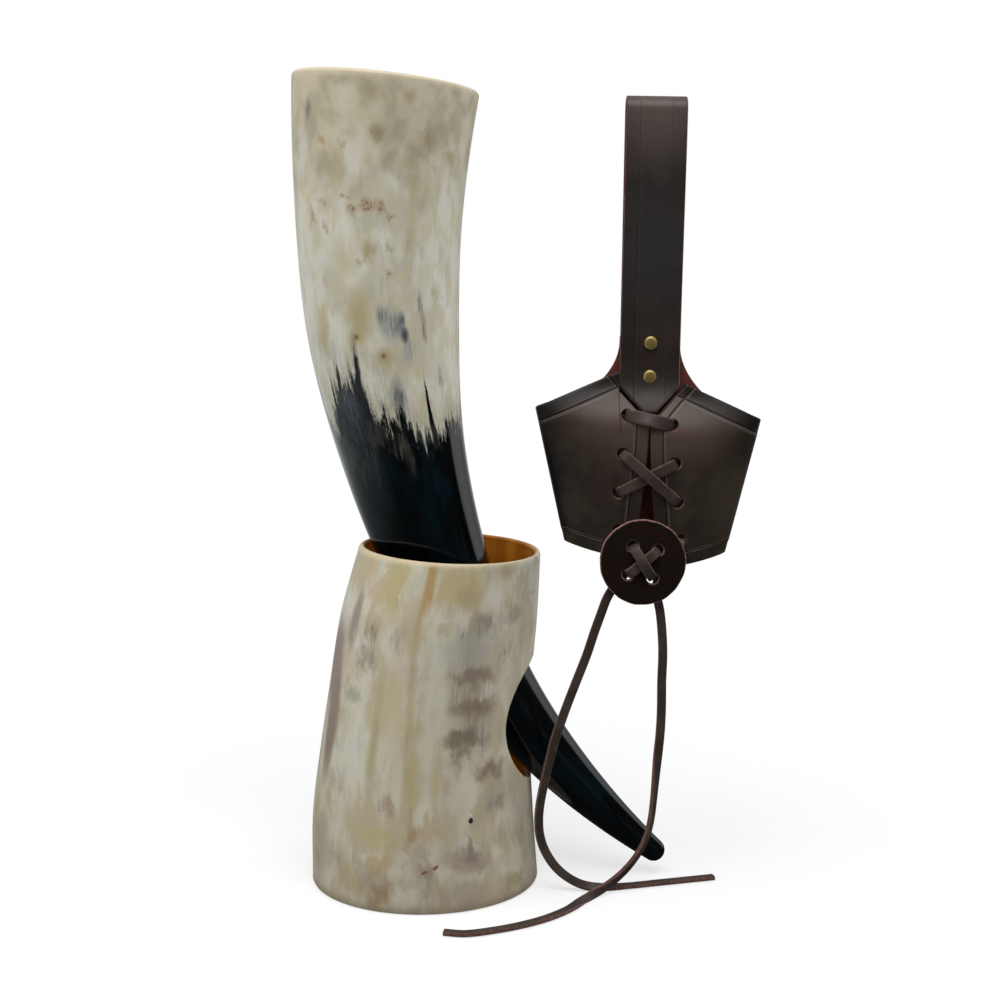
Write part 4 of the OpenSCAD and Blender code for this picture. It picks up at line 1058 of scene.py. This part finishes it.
def unhung(p):
    """The other way round: into the holster's own frame."""
    c, s = math.cos(LEAN), math.sin(LEAN)
    x, z = p[:, 0] - HOL[0], p[:, 2] - HOL[2]
    return np.stack([x * c - z * s, p[:, 1] - HOL[1], x * s + z * c], -1)


# Half width of the sleeve, how far the leather stands off its middle plane, and
# the gap between the wings, at height z
def half_w(z):
    return mix(LOW_W, TOP_W, np.minimum(z / SLEEVE_H, 1)) / 2


def bulge(z):
    return mix(BULGE, NECK_Y, ease((z - BEND_TOP) / BEND_RUN + 1))


def edge_gap(z):
    return mix(GAP_LOW, GAP_TOP, ease((z + DIP) / SLEEVE_H))


def corner_a(c):
    """Angle from the front to the inner corner of the wing on the side of column c."""
    return np.arcsin(np.where(np.asarray(c) < 0, CUTS[-1][0][-1], CUTS[1][0][-1])
                     * 2 / TOP_W)


def column_a(c, z):
    """Angle round the sleeve: 0 at the back, past the side fold to the front edge."""
    ca = corner_a(c)
    wa = np.pi - ca
    c = np.abs(c)
    return np.where(c <= 1, c * wa,
                    wa + (c - 1) * (ca - np.arcsin(edge_gap(z) / 2 / half_w(z))))


def column_low(c):
    """Lower edge of the sheet at column c."""
    return -DIP * np.cos(column_a(c, 0.0)) ** 2


def column_top(c):
    """Upper edge: the neck, its flare, the back's shoulder, and the wing's slopes."""
    a = column_a(c, SLEEVE_H)
    x = TOP_W / 2 * np.sin(a)
    side = TOP_W / 2
    t = np.clip((x - STRAP_W / 2) / FLARE, 0, 1)
    back = np.where(a <= NECK_A + 0.002, NECK_H, mix(NECK_H, FLARE_H, t ** 0.45))
    far = mix(SLEEVE_H, FLARE_H, (side - x) / (side - STRAP_W / 2 - FLARE))
    front = SLEEVE_H + (side - x) * RISE_SHARE
    wing = np.where(c < 0, np.interp(x, *CUTS[-1]), np.interp(x, *CUTS[1]))
    return np.where(a < FLARE_A, back, np.where(a < np.pi / 2, far,
                                                np.where(np.abs(c) <= 1, front, wing)))


def leather_mid(c, z):
    """Middle of the leather at column c and height z, both arrays."""
    a = column_a(c, z)
    low = np.sin(np.minimum(np.pi / 2, column_a(c, 0.0)))
    return np.stack([np.sign(c) * half_w(z) * np.sin(a), bulge(z) * np.cos(a),
                     z - STEP / 2 * np.sign(c) * low], -1)


def leather_n(c, z):
    """Outward normal of the leather, from short steps along it."""
    du = leather_mid(c + 0.002, z) - leather_mid(c - 0.002, z)
    dv = leather_mid(c, z + 0.05) - leather_mid(c, z - 0.05)
    return unit(np.cross(dv, du))


def thickness(d, half, soft=0.7):
    """Half thickness at distance d from a rounded edge."""
    k = np.clip(soft - d, 0, soft)
    return half - soft + np.sqrt(np.maximum(soft * soft - k * k, 0))


def two_sided(mid, nrm, out, inn):
    """Points and faces of a sheet with a skin on each side and walls round it."""
    n, m = mid.shape[:2]
    a = mid + nrm * out[..., None]
    b = mid - nrm * inn[..., None]
    verts = np.concatenate([a.reshape(-1, 3), b.reshape(-1, 3)])
    ids = np.arange(n * m).reshape(n, m)
    loop = np.concatenate([ids[0, :-1], ids[:-1, -1], ids[-1, :0:-1], ids[:0:-1, 0]])
    nxt = np.roll(loop, -1)
    skins = grid_faces(n, m), grid_faces(n, m, start=n * m, flip=True)
    walls = np.stack([nxt, loop, loop + n * m, nxt + n * m], -1).tolist()
    index = np.repeat([0, 1, 2], [len(skins[0]), len(skins[1]), len(walls)])
    return verts, skins[0] + skins[1] + walls, index


def lace_hole(k, side):
    """Hole k of a side, from the top, on the leather's middle in its own frame."""
    z = HOLE_TOP - k * HOLE_STEP
    x = mix(APART_TOP, APART_LOW, k / 3) / 2 - (LEFT_IN if k == 3 and side < 0 else 0)
    return np.array([side * x, -bulge(z) * math.sqrt(1 - (x / half_w(z)) ** 2),
                     z - side * STEP / 2])


def lathe(profile, count, place, flag):
    """Closed turned solid from (radius, height) pairs, turned about local +Z, with
    a flag for each ring."""
    prof = np.array(profile, float)
    pts = turned(prof[:, :1], prof[:, 1], circle_steps(count))
    return (place(pts.reshape(-1, 3)), closed_faces(len(prof), count),
            np.repeat(np.array(flag, float), count))


def to_front(x, y, z):
    """Turned solids point to the front: local +Z becomes -Y of the holster."""
    def place(p):
        return hung(np.stack([x + p[:, 0], y - p[:, 2], z + p[:, 1]], -1))
    return place


def hole_cutter(x, y_face, z, depth=6.0, flare=0.55):
    """Cutter of a punched hole whose mouth is worn open at the outer face."""
    prof = [(HOLE_R, -depth), (HOLE_R, -0.7), (HOLE_R + 0.12, -0.35),
            (HOLE_R + 0.3, -0.12), (HOLE_R + flare, 0.08), (HOLE_R + flare, 4.0)]
    verts, faces, _ = lathe(prof, 40, to_front(x, y_face, z), [0] * len(prof))
    mesh = bpy.data.meshes.new("cutter")
    mesh.from_pydata((verts * 0.001).tolist(), [], faces)
    for _ in range(3):
        mesh.materials.append(MAT_RAW)
    mesh.polygons.foreach_set("material_index", np.full(len(mesh.polygons), 2, np.int32))
    return new_object("cutter", mesh)


def panel_marks(p):
    """Distances in centimetres to the edges that the creases follow: the slanted
    top edge, the slanted cut, the front edge; and the lower edge."""
    x, z = np.abs(p[:, 0]), p[:, 2] + STEP / 2 * np.sign(p[:, 0]) * (p[:, 1] < 0)
    front = p[:, 1] < 0
    top = ((SLEEVE_H + (TOP_W / 2 - x) * RISE_SHARE - z)
           * math.cos(math.atan(RISE_SHARE)))
    slant = []
    for xs, zs in CUTS.values():
        slope = (zs[1] - zs[0]) / (xs[1] - xs[0])
        slant.append((zs[0] + (x - xs[0]) * slope - z) * math.cos(math.atan(slope)))
    slant = np.where(p[:, 0] < 0, slant[0], slant[1])
    edge = x - edge_gap(z) / 2
    low = z + DIP * (1 - np.minimum(1, x / LOW_W * 2) ** 2)
    on_strip = front & (x < 26)
    right = p[:, 0] > 0
    m = np.stack([np.where(front, top, FAR),
                  np.where(on_strip & right & (z > 54), slant, FAR),
                  np.where(on_strip & (z < 52), edge, FAR)], -1)
    other = np.where(on_strip & ~right & (z > 50), slant, FAR)
    return m / 10, np.stack([low, other, low * 0 + FAR], -1) / 10


def make_panel():
    """Back and wings in one sheet: columns round the sleeve, rows up each of them."""
    front_mm = 1 / WING_FLAT
    half = np.concatenate([np.linspace(0, 1, 150)[:-1],
                           np.linspace(1, 2 - 0.9 * front_mm, 40),
                           2 - np.array(EDGE[::-1]) * front_mm])
    flare = np.arcsin((STRAP_W / 2 + FLARE * np.linspace(0, 1, 30) ** 2) / TOP_W * 2)
    left, right = (np.unique(np.concatenate([half, flare / (np.pi - corner_a(k))]))
                   for k in (-1, 1))
    c = np.concatenate([-left[:0:-1], right])
    low, top = column_low(c), column_top(c)
    inner_rows = [mix(low + EDGE[-1], top - EDGE[-1], t)
                  for t in np.linspace(0, 1, 76)[1:-1]]
    z = np.array([low + d for d in EDGE] + inner_rows + [top - d for d in EDGE[::-1]]).T
    cc = np.repeat(c[:, None], z.shape[1], 1)
    mid = leather_mid(cc, z)
    nrm = leather_n(cc, z)
    # Distances to the free edges round the sheet off
    d_low = z - low[:, None]
    d_top = np.where(column_a(cc, z) <= NECK_A + 0.01, FAR, top[:, None] - z)
    d_front = np.where(np.abs(cc) > 1, (2 - np.abs(cc)) / front_mm, FAR)
    d = np.minimum(np.minimum(d_low, d_top), d_front)
    half_t = thickness(d, PANEL_T / 2)
    m_top = panel_marks(mid.reshape(-1, 3))[0][:, 0].reshape(z.shape) * 10
    # The band above the crease is pressed a little thinner
    band = ease((6.2 - np.minimum(m_top, d_low + 0.5)) / 0.8)
    out = half_t - 0.22 * band * (d < 90)
    verts, faces, index = two_sided(hung(mid), rotate(nrm), out, half_t)
    obj = add_object("holster_sleeve", verts, faces, [MAT_LEATHER, MAT_SUEDE, MAT_RAW],
                     "holster", ["holster_leather"], index)
    holes = [lace_hole(k, side) for k in range(4) for side in (-1, 1)]
    cut(obj, [hole_cutter(h[0], h[1] - PANEL_T / 2, h[2]) for h in holes])
    at = np.empty(len(obj.data.vertices) * 3)
    obj.data.vertices.foreach_get("co", at)
    marks = panel_marks(unhung(at.reshape(-1, 3) * 1000))
    for key, value in zip(("marks", "marks2"), marks):
        att = obj.data.attributes.new(key, "FLOAT_VECTOR", "POINT")
        att.data.foreach_set("vector", value.ravel())
    return obj


def strap_line():
    """Middle line of the strap as (y, z): up in front, over the fold, down behind."""
    loop_y = (LOOP_GAP + STRAP_T) / 2
    loop_z = LOOP_Z - STRAP_T / 2 - loop_y

    def spread(z):
        """From the neck's half gap to the loop's own."""
        return mix(NECK_Y, loop_y, ease((z - NECK_H) / (loop_z - NECK_H)))

    z1 = np.linspace(POINT_Z, loop_z, 150)
    zy = np.where(z1 < NECK_H, bulge(z1), spread(z1))
    window = np.hanning(27) / np.hanning(27).sum()
    zy = np.convolve(np.pad(zy, 13, "edge"), window, "valid")
    a = np.radians(np.linspace(180, 0, 26)[1:-1])
    z2 = np.linspace(loop_z, STRAP_END_Z, 110)
    fold = np.stack([loop_y * np.cos(a), loop_z + loop_y * np.sin(a)], -1)
    return np.concatenate([np.stack([-zy, z1], -1), fold,
                           np.stack([spread(z2), z2], -1)])


def make_strap():
    """Strap along its middle line: rows across it, from its point to its end."""
    line = strap_line()
    s = np.concatenate([[0], np.cumsum(np.linalg.norm(np.diff(line, axis=0), axis=1))])
    at = np.concatenate([EDGE, np.linspace(EDGE[-1], s[-1], 300)[1:]])
    p = np.stack([np.interp(at, s, line[:, 0]), np.interp(at, s, line[:, 1])], -1)
    p[:, 0] -= POINT_LIFT * ease(1 - at / LIFT_RUN)
    d = unit(np.gradient(p, axis=0))
    n = np.stack([-d[:, 1], d[:, 0]], -1)
    slope = (SHOULDER_Z - POINT_Z) / (STRAP_W / 2 - POINT_HALF)
    w = np.minimum(STRAP_W / 2, POINT_HALF + at / slope)
    w = np.where(at > 30, STRAP_W / 2, w)
    edge = np.array(EDGE)
    mids = np.linspace(-1, 1, 37)[1:-1]
    x = np.array([np.concatenate([-k + edge, mids * (k - EDGE[-1]), k - edge[::-1]])
                  for k in w])
    dist = np.minimum(w[:, None] - np.abs(x), at[:, None])

    def across(a, v):
        """Vectors with a across, and the same (y, z) of v for a whole row."""
        return np.concatenate([a[..., None], np.repeat(v[:, None], x.shape[1], 1)], -1)

    half = thickness(dist, STRAP_T / 2, 0.6)
    verts, faces, index = two_sided(hung(across(x, p)), rotate(across(0 * x, n)),
                                    half, half)
    far = np.full(x.shape, FAR)
    marks2 = np.stack([far, x + STRAP_W / 2, STRAP_W / 2 - x], -1).reshape(-1, 3) / 10
    # The cut edge shows as a thin line beside the smooth side
    cols = x.shape[1] - 1
    face = np.arange((x.shape[0] - 1) * cols)
    row, col = face // cols, face % cols
    show = (col >= cols - 2) | ((col == 0) & (at[row] < 90))
    index[face[show]] = 2
    return add_object("holster_strap", verts, faces, [MAT_STRAP, MAT_SUEDE, MAT_RAW],
                      "holster", (), index,
                      {"marks2": np.concatenate([marks2, marks2 * 0 + 9])})


# Rivets
# Profiles as (radius, height), with a flag: 0 on the cap's crown, 1 at the rims, where
# shade is painted dark
CAP = ([(0.9, 0.0), (2.9, 0.0), (3.0, 0.15), (3.0, 0.4), (2.88, 0.58), (2.74, 0.6),
        (2.66, 0.72), (2.5, 0.92), (2.25, 1.04), (1.8, 1.13), (1.2, 1.19), (0.6, 1.22),
        (0.05, 1.23)],
       [1, 1, 1, 1, 1, 0.9, 0.6, 0.4, 0.35, 0.1, 0, 0, 0])


def make_rivet(name, z):
    """Domed cap with a rim in front of the strap, and a post with a flat head."""
    face = NECK_Y + STRAP_T / 2 + 0.1
    back = NECK_Y + PANEL_T / 2 + 0.1
    post = ([(0.1, -0.6), (2.6, -0.6), (2.9, -0.5), (3.0, -0.3), (3.0, 0.0), (1.25, 0.02),
             (1.25, back + face + 0.4), (0.1, back + face + 0.5)],
            [0, 0.1, 0.5, 0.9, 1, 1, 1, 1])
    for part, (profile, flags), y in (("cap", CAP, -face), ("post", post, back)):
        verts, faces, flag = lathe(profile, 64, to_front(0, y, z), flags)
        add_object(f"{name}_{part}_turned", verts, faces, [MAT_BRASS], "holster",
                   [f"{name}_{part}"], facts={"inner": flag}, sharp=50)


# Laces
LACE_W, LACE_T = 3.8, 1.8
# How far a lace runs along the leather while it turns into a hole
DIVE = 2.7
# Middle of a lace that lies on the leather, from the leather's own middle
ON = PANEL_T / 2 + LACE_T / 2 + 0.15
INSIDE = np.array([0, ON + 0.3, 0])
FRONT = np.array([0.0, -1.0, 0.0])


def lace_section():
    """Flat lace's outline, with softened corners, and which faces are cut edges."""
    w, t, r = LACE_W / 2, LACE_T / 2, 0.42
    pts = []
    for cx, cy, a0 in ((w - r, t - r, 0), (-w + r, t - r, 90), (-w + r, -t + r, 180),
                       (w - r, -t + r, 270)):
        for a in (0, 30, 60, 90):
            a = math.radians(a0 + a)
            pts.append((cx + r * math.cos(a), cy + r * math.sin(a)))
        if a0 in (0, 180):
            sx = 1 if a0 == 0 else -1
            for k in (0.5, 0.0, -0.5):
                pts.append((sx * k * (w - r), sx * t))
    pts = np.array(pts)
    mid = (pts + np.roll(pts, -1, 0)) / 2
    raw = np.abs(mid[:, 0]) > w - 0.75 * r
    return pts, raw


def sweep(name, path, looks, body, replaces, wobble=0.0, roll=None, wide=0.0):
    """Flat lace along a path; looks gives the way its flat side faces, one for all
    or one for each point, roll turns it about the path, wobble and wide make it
    uneven and wider."""
    path = np.asarray(path, float)
    d = unit(np.gradient(path, axis=0))
    w = unit(np.cross(d, looks))
    n = np.cross(w, d)
    if roll is not None:
        c, s = np.cos(roll)[:, None], np.sin(roll)[:, None]
        w, n = c * w + s * n, c * n - s * w
    sec, raw = lace_section()
    k = 1 + wide * np.minimum(1, 2 * np.sin(np.pi * np.linspace(0, 1, len(path))))
    k = k + wobble * np.sin(np.arange(len(path)) * 0.9 + len(name))
    pts = (path[:, None] + (sec[:, 0] * k[:, None])[..., None] * w[:, None]
           + sec[:, 1][None, :, None] * n[:, None])
    # A lace that lies on the floor is pressed flat there
    pts[..., 2] = np.maximum(pts[..., 2], 0)
    index = list(np.tile(raw.astype(int), len(path) - 1)) + [1, 1]
    return add_object(name, pts.reshape(-1, 3), closed_faces(len(path), len(sec)),
                      [MAT_LACE, MAT_LACE_RAW], body, replaces, index)


def strand(a, b, deep, near, lift, steps=60):
    """Out of hole a in a quarter turn, off the leather by near, back into hole b."""
    a, b = np.asarray(a, float), np.asarray(b, float)
    long = np.linalg.norm(b - a)
    turn = np.radians(np.linspace(0, 90, 12))
    s = np.concatenate([DIVE * (1 - np.cos(turn)),
                        np.linspace(DIVE, long - DIVE, steps)[1:-1],
                        long - DIVE * (1 - np.cos(turn[::-1]))])
    u = np.minimum(1, np.minimum(s, long - s) / DIVE)
    p = a + (b - a) * (s / long)[:, None]
    p[:, 1] += (mix(deep, -near, np.sqrt(np.maximum(0, u * (2 - u))))
                - lift * np.sin(np.pi * s / long) ** 2)
    return p


def swell(h):
    """How far the bulging wings come out in front of the hole h."""
    return bulge(h[2]) + h[1]


def fine_path(points, count):
    """Smooth curve through given points, evenly spaced."""
    p = np.asarray(points, float)
    t = np.linspace(0, 1, 60 * len(p))
    q = np.stack([smooth_at(p[:, k], t) for k in range(3)], -1)
    s = np.concatenate([[0], np.cumsum(np.linalg.norm(np.diff(q, axis=0), axis=1))])
    at = np.linspace(0, s[-1], count)
    return np.stack([np.interp(at, s, q[:, k]) for k in range(3)], -1), s[-1]


# Routes of the two tails in the whole object's frame, from hole to bare end
LEFT = [
    [81.5, -21.7, 153.5], [83.1, -21.7, 149.8], [84.6, -21.7, 145.6], [85.3, -21.7, 141],
    [84, -21.7, 136], [80.5, -21.7, 132], [77.8, -21.7, 127.5], [75.6, -21.7, 121.5],
    [72.8, -21.7, 113.5], [69.6, -21.7, 103.5], [65.8, -21.8, 93.5], [62, -22, 83.5],
    [59, -22, 75], [56.2, -22, 66.5], [53.6, -22, 56], [51.4, -22, 46],
    [50, -22, 38], [49.5, -22, 31.5], [50, -22, 25], [52, -22, 18.5],
    [56.2, -21.8, 11.5], [62, -21.4, 6], [69, -21.1, 2.4], [77, -20.7, 1.2],
    [89, -18, 1], [102, -14.4, 1], [115, -10.8, 1], [126.5, -7.6, 1]]
RIGHT = [
    [107.2, -21.7, 149.4], [104.8, -21.7, 145.8], [102.2, -21.7, 142.2],
    [100, -21.7, 138.4], [98.8, -21.7, 133.6], [99, -21.7, 128], [100.2, -21.7, 122],
    [101.1, -21.7, 114], [101.6, -21.7, 104], [101.3, -21.8, 92], [101.3, -22, 80],
    [100.9, -22, 70], [100, -22, 60], [99.2, -22, 50], [98.4, -22, 40],
    [97.4, -22, 31.5], [95.6, -22, 24], [92.6, -22.2, 17.6], [88.4, -22.8, 11.8],
    [83.4, -24, 7], [78.2, -26, 3.6], [72.6, -29.6, 1.6], [66.8, -37, 1],
    [60.6, -46.2, 1], [52, -55, 1], [42, -62, 1], [31, -67.4, 1], [19.5, -71, 1],
    [10.5, -69.6, 1]]


def make_tail(name, route, node, lie_from, aside):
    """Tail along its route. It faces the front, then aside, and lies flat on the
    floor from the route's point lie_from."""
    path, long = fine_path(route, 260)
    t = np.linspace(0, len(route) - 1, len(path))
    down = ease((t - lie_from) / 4)[:, None]
    turn = ease((t - 9) / 4)[:, None]
    looks = mix(mix(FRONT, np.array(aside), turn), np.array([0, 0, 1.0]), down)
    obj = sweep(name, path, unit(looks), "holster", [node])
    return obj


def tail_start(a, b, side):
    """Run behind the leather from a to b, out through the lowest hole, and on to
    the start of the tail; with the way the lace faces."""
    out = np.array(LEFT[0] if side < 0 else RIGHT[0])
    ha, hb, hole = hung(a), hung(b), hung(lace_hole(3, side))
    down = unit(hb - ha)
    q = np.radians(np.linspace(90, 0, 12))
    u = np.radians(np.linspace(0, 86, 12))[1:]
    e = out - hole
    run = mix(ha, hb - DIVE * down, np.linspace(0, 1, 16)[:, None])[:-1]
    into = (hole - (DIVE * (1 - np.cos(q)))[:, None] * down
            + np.sin(q)[:, None] * INSIDE)
    bend = hole + np.stack([(1 - np.cos(u)) * e[0], np.sin(u) * e[1],
                            (1 - np.cos(u)) * e[2]], -1)
    turn = np.concatenate([np.full(len(run), np.pi / 2), q, u])
    looks = np.stack([0 * turn, -np.sin(turn), np.cos(turn)], -1)
    return np.concatenate([run, into, bend]), looks


def make_laces():
    """The bar and the crossing in front of the wings, and the runs behind them."""
    for name, node, a, b, lift, roll, wide in (
            ("lace_bar", "lace_top_bar", (0, -1), (0, 1), 0.9, 0.5, 0.42),
            ("lace_over", "lace_cross_over", (1, -1), (2, 1), 2.1, 0.0, 0.14),
            ("lace_under", "lace_cross_under", (2, -1), (1, 1), 0.0, 0.0, 0.14)):
        high = lace_hole(min(a[0], b[0]), 1)
        p = strand(lace_hole(*a), lace_hole(*b), PANEL_T / 2, ON, swell(high) + lift)
        t = np.linspace(0, 1, len(p))
        sweep(name, hung(p), FRONT, "holster", [node], 0.012,
              roll * np.sin(np.pi * t) ** 2, wide)
    for k, side in ((0, -1), (0, 1), (2, -1), (2, 1)):
        a, b = lace_hole(k, side) + INSIDE, lace_hole(k + 1, side) + INSIDE
        if k == 0:
            p = hung(mix(a, b, np.linspace(0, 1, 20)[:, None]))
            looks = -FRONT
        else:
            p, looks = tail_start(a, b, side)
        sweep(f"lace_inside_{k}_{'l' if side < 0 else 'r'}", p, looks, "holster",
              ["lace_inside_runs"])


# Disc
DISC_BACK = BULGE + PANEL_T / 2 + LACE_T + 0.6
DISC_R, DISC_T, DISC_EDGE = 18.0, 3.0, 0.6
DISC = (-2.0, -4.5)
# Places of its holes across and up, and the angle that it is turned by
DISC_HOLES, DISC_TURN = (5.2, 6.0), math.radians(8.5)


def disc_hole(side, up):
    """Hole of the disc at its front face. The four are turned a little."""
    x, z, t = side * DISC_HOLES[0], up * DISC_HOLES[1], DISC_TURN
    return np.array([DISC[0] + x * math.cos(t) + z * math.sin(t), -DISC_BACK - DISC_T,
                     DISC[1] + z * math.cos(t) - x * math.sin(t)])


def make_disc():
    """Turned disc with rounded edges and a rim that waves a little, its four holes,
    and the two laces that cross on it."""
    flat = DISC_R - DISC_EDGE
    prof = [(0.2, 0.0)] + [(k, 0.0) for k in np.linspace(1.5, flat, 12)]
    flag = [1] * len(prof)
    arc = [(flat + DISC_EDGE * math.sin(a), DISC_EDGE * (1 - math.cos(a)))
           for a in np.radians([0, 22, 45, 68, 90])]
    prof += arc[1:] + [(DISC_R, DISC_T / 2)] + [(r, DISC_T - z) for r, z in arc[::-1]]
    flag += [2] * 9 + [0]
    prof += [(k, DISC_T) for k in np.linspace(flat, 1.5, 30)[1:]] + [(0.2, DISC_T)]
    flag += [0] * 30
    prof = np.array(prof)
    a = circle_steps(120)
    wave = 0.10 * np.sin(3 * a + 0.4) + 0.07 * np.sin(7 * a + 2) + 0.05 * np.sin(17 * a)
    near = np.clip((prof[:, 0] - 12) / 6, 0, 1)[:, None]
    pts = turned(prof[:, :1] + wave * near - 0.05, prof[:, 1], a)
    index = list(np.repeat(np.array(flag[1:]), len(a))) + [1, 0]
    obj = add_object("disc_round",
                     to_front(DISC[0], -DISC_BACK, DISC[1])(pts.reshape(-1, 3)),
                     closed_faces(len(prof), len(a)), [MAT_DISC, MAT_SUEDE, MAT_DISC_RAW],
                     "disc", ["lace_disc"], index)
    holes = [disc_hole(side, up) for side in (-1, 1) for up in (-1, 1)]
    cut(obj, [hole_cutter(h[0], h[1], h[2], 7.0, 0.4) for h in holes])
    for part, left, right, lift in (("over", 1, -1, LACE_T + 0.3), ("under", -1, 1, 0.0)):
        p = strand(disc_hole(-1, left), disc_hole(1, right), DISC_T - 0.3,
                   LACE_T / 2 + 0.2, lift, 40)
        sweep(f"disc_lace_{part}", hung(p), FRONT, "disc", [f"lace_disc_{part}"], 0.012,
              None, 0.1)
    return obj


make_tail("tail_left", LEFT, "lace_tail_left", 18.5, (0.5, -1.0, 0.0))
make_tail("tail_right", RIGHT, "lace_tail_right", 17.5, (0.9, -0.6, 0.0))
make_horn()
make_stand()
make_panel()
make_strap()
for where, height in RIVETS.items():
    make_rivet(f"rivet_{where}", height)
make_laces()
make_disc()


# Floor and light
def make_floor():
    """White floor. It shows soft shadows near the object, and is darker in
    front of it than at the left when the horn mirrors it."""
    g = Graph("pale_floor")
    path = g.node("ShaderNodeLightPath")
    at = g.place()
    x, y, _ = g.split(at)
    away = g.vec("LENGTH", g.vec("SUBTRACT", at, (0.04, 0.0, 0.0)), out=1)
    white = g.node("ShaderNodeBsdfDiffuse", rgb(252, 252, 252))
    glow = g.node("ShaderNodeEmission", (1, 1, 1, 1), 1.02)
    seen = g.node("ShaderNodeMixShader", g.step(away, 0.10, 0.40, 0.6, 1.0),
                  white.outputs[0], glow.outputs[0])
    soft = g.node("ShaderNodeBsdfDiffuse", rgb(170, 170, 170))
    side = g.step(x, -0.15, -0.5, 0.03, 0.40)
    back = g.step(y, 0.1, 0.8, 0.0, 0.5)
    mirror = g.node("ShaderNodeEmission", (0.9, 0.97, 1, 1), g.plus(side, back))
    other = g.node("ShaderNodeMixShader", path.outputs["Is Glossy Ray"], soft.outputs[0],
                   mirror.outputs[0])
    g.output("ShaderNodeOutputMaterial",
             g.node("ShaderNodeMixShader", path.outputs["Is Camera Ray"],
                    other.outputs[0], seen.outputs[0]))
    mesh = bpy.data.meshes.new("floor")
    w, low = 6.0, -0.0002
    mesh.from_pydata([(-w, -w, low), (w, -w, low), (w, w, low), (-w, w, low)], [],
                     [(0, 1, 2, 3)])
    mesh.materials.append(g.owner)
    new_object("floor", mesh)


def make_world():
    """White for the camera, even and dim for light, dark but for the back wall
    in reflections."""
    g = Graph("studio", bpy.data.worlds)
    path = g.node("ShaderNodeLightPath")
    way = g.split(g.node("ShaderNodeTexCoord").outputs["Generated"])
    right = g.times(g.step(way[1], 0.2, 0.3), g.step(way[1], 1.0, 0.35, 0.1, 0.82))
    left = g.step(way[1], 0.0, 0.6, 0.0, 0.45)
    wall = g.mix(g.step(way[0], -0.08, 0.08), left, right)
    wall = g.plus(wall, g.step(way[1], -0.5, -0.9, 0.03, 0.14))
    level = g.mix(path.outputs["Is Glossy Ray"], (0.26, 0.27, 0.28, 1), wall)
    level = g.mix(path.outputs["Is Camera Ray"], level, (1, 1, 1, 1))
    g.output("ShaderNodeOutputWorld", g.node("ShaderNodeBackground", level, 1.0))
    bpy.context.scene.world = g.owner


def add_light(name, at, target, size, power, mirrored=True):
    """Rectangular light at a place, turned to its target."""
    light = bpy.data.lights.new(name, "AREA")
    light.shape = "RECTANGLE"
    light.size, light.size_y = size
    light.energy = power
    obj = new_object(name, light)
    at, target = np.array(at, float), np.array(target, float)
    d = target - at
    obj.location = at
    obj.rotation_euler = (math.atan2(math.hypot(d[0], d[1]), -d[2]), 0,
                          math.atan2(-d[0], d[1]))
    obj.visible_glossy = mirrored


make_floor()
make_world()
add_light("right_box", (0.95, 0.24, 0.42), (0.03, 0, 0.22), (0.8, 1.0), 4.8, False)
add_light("left_box", (-0.95, -0.15, 0.85), (0.03, 0, 0.18), (0.9, 0.9), 6.2, False)
add_light("top_box", (0.05, -0.55, 1.15), (0.05, 0, 0.15), (1.0, 0.7), 10.0)

bpy.context.scene.view_settings.view_transform = "Standard"
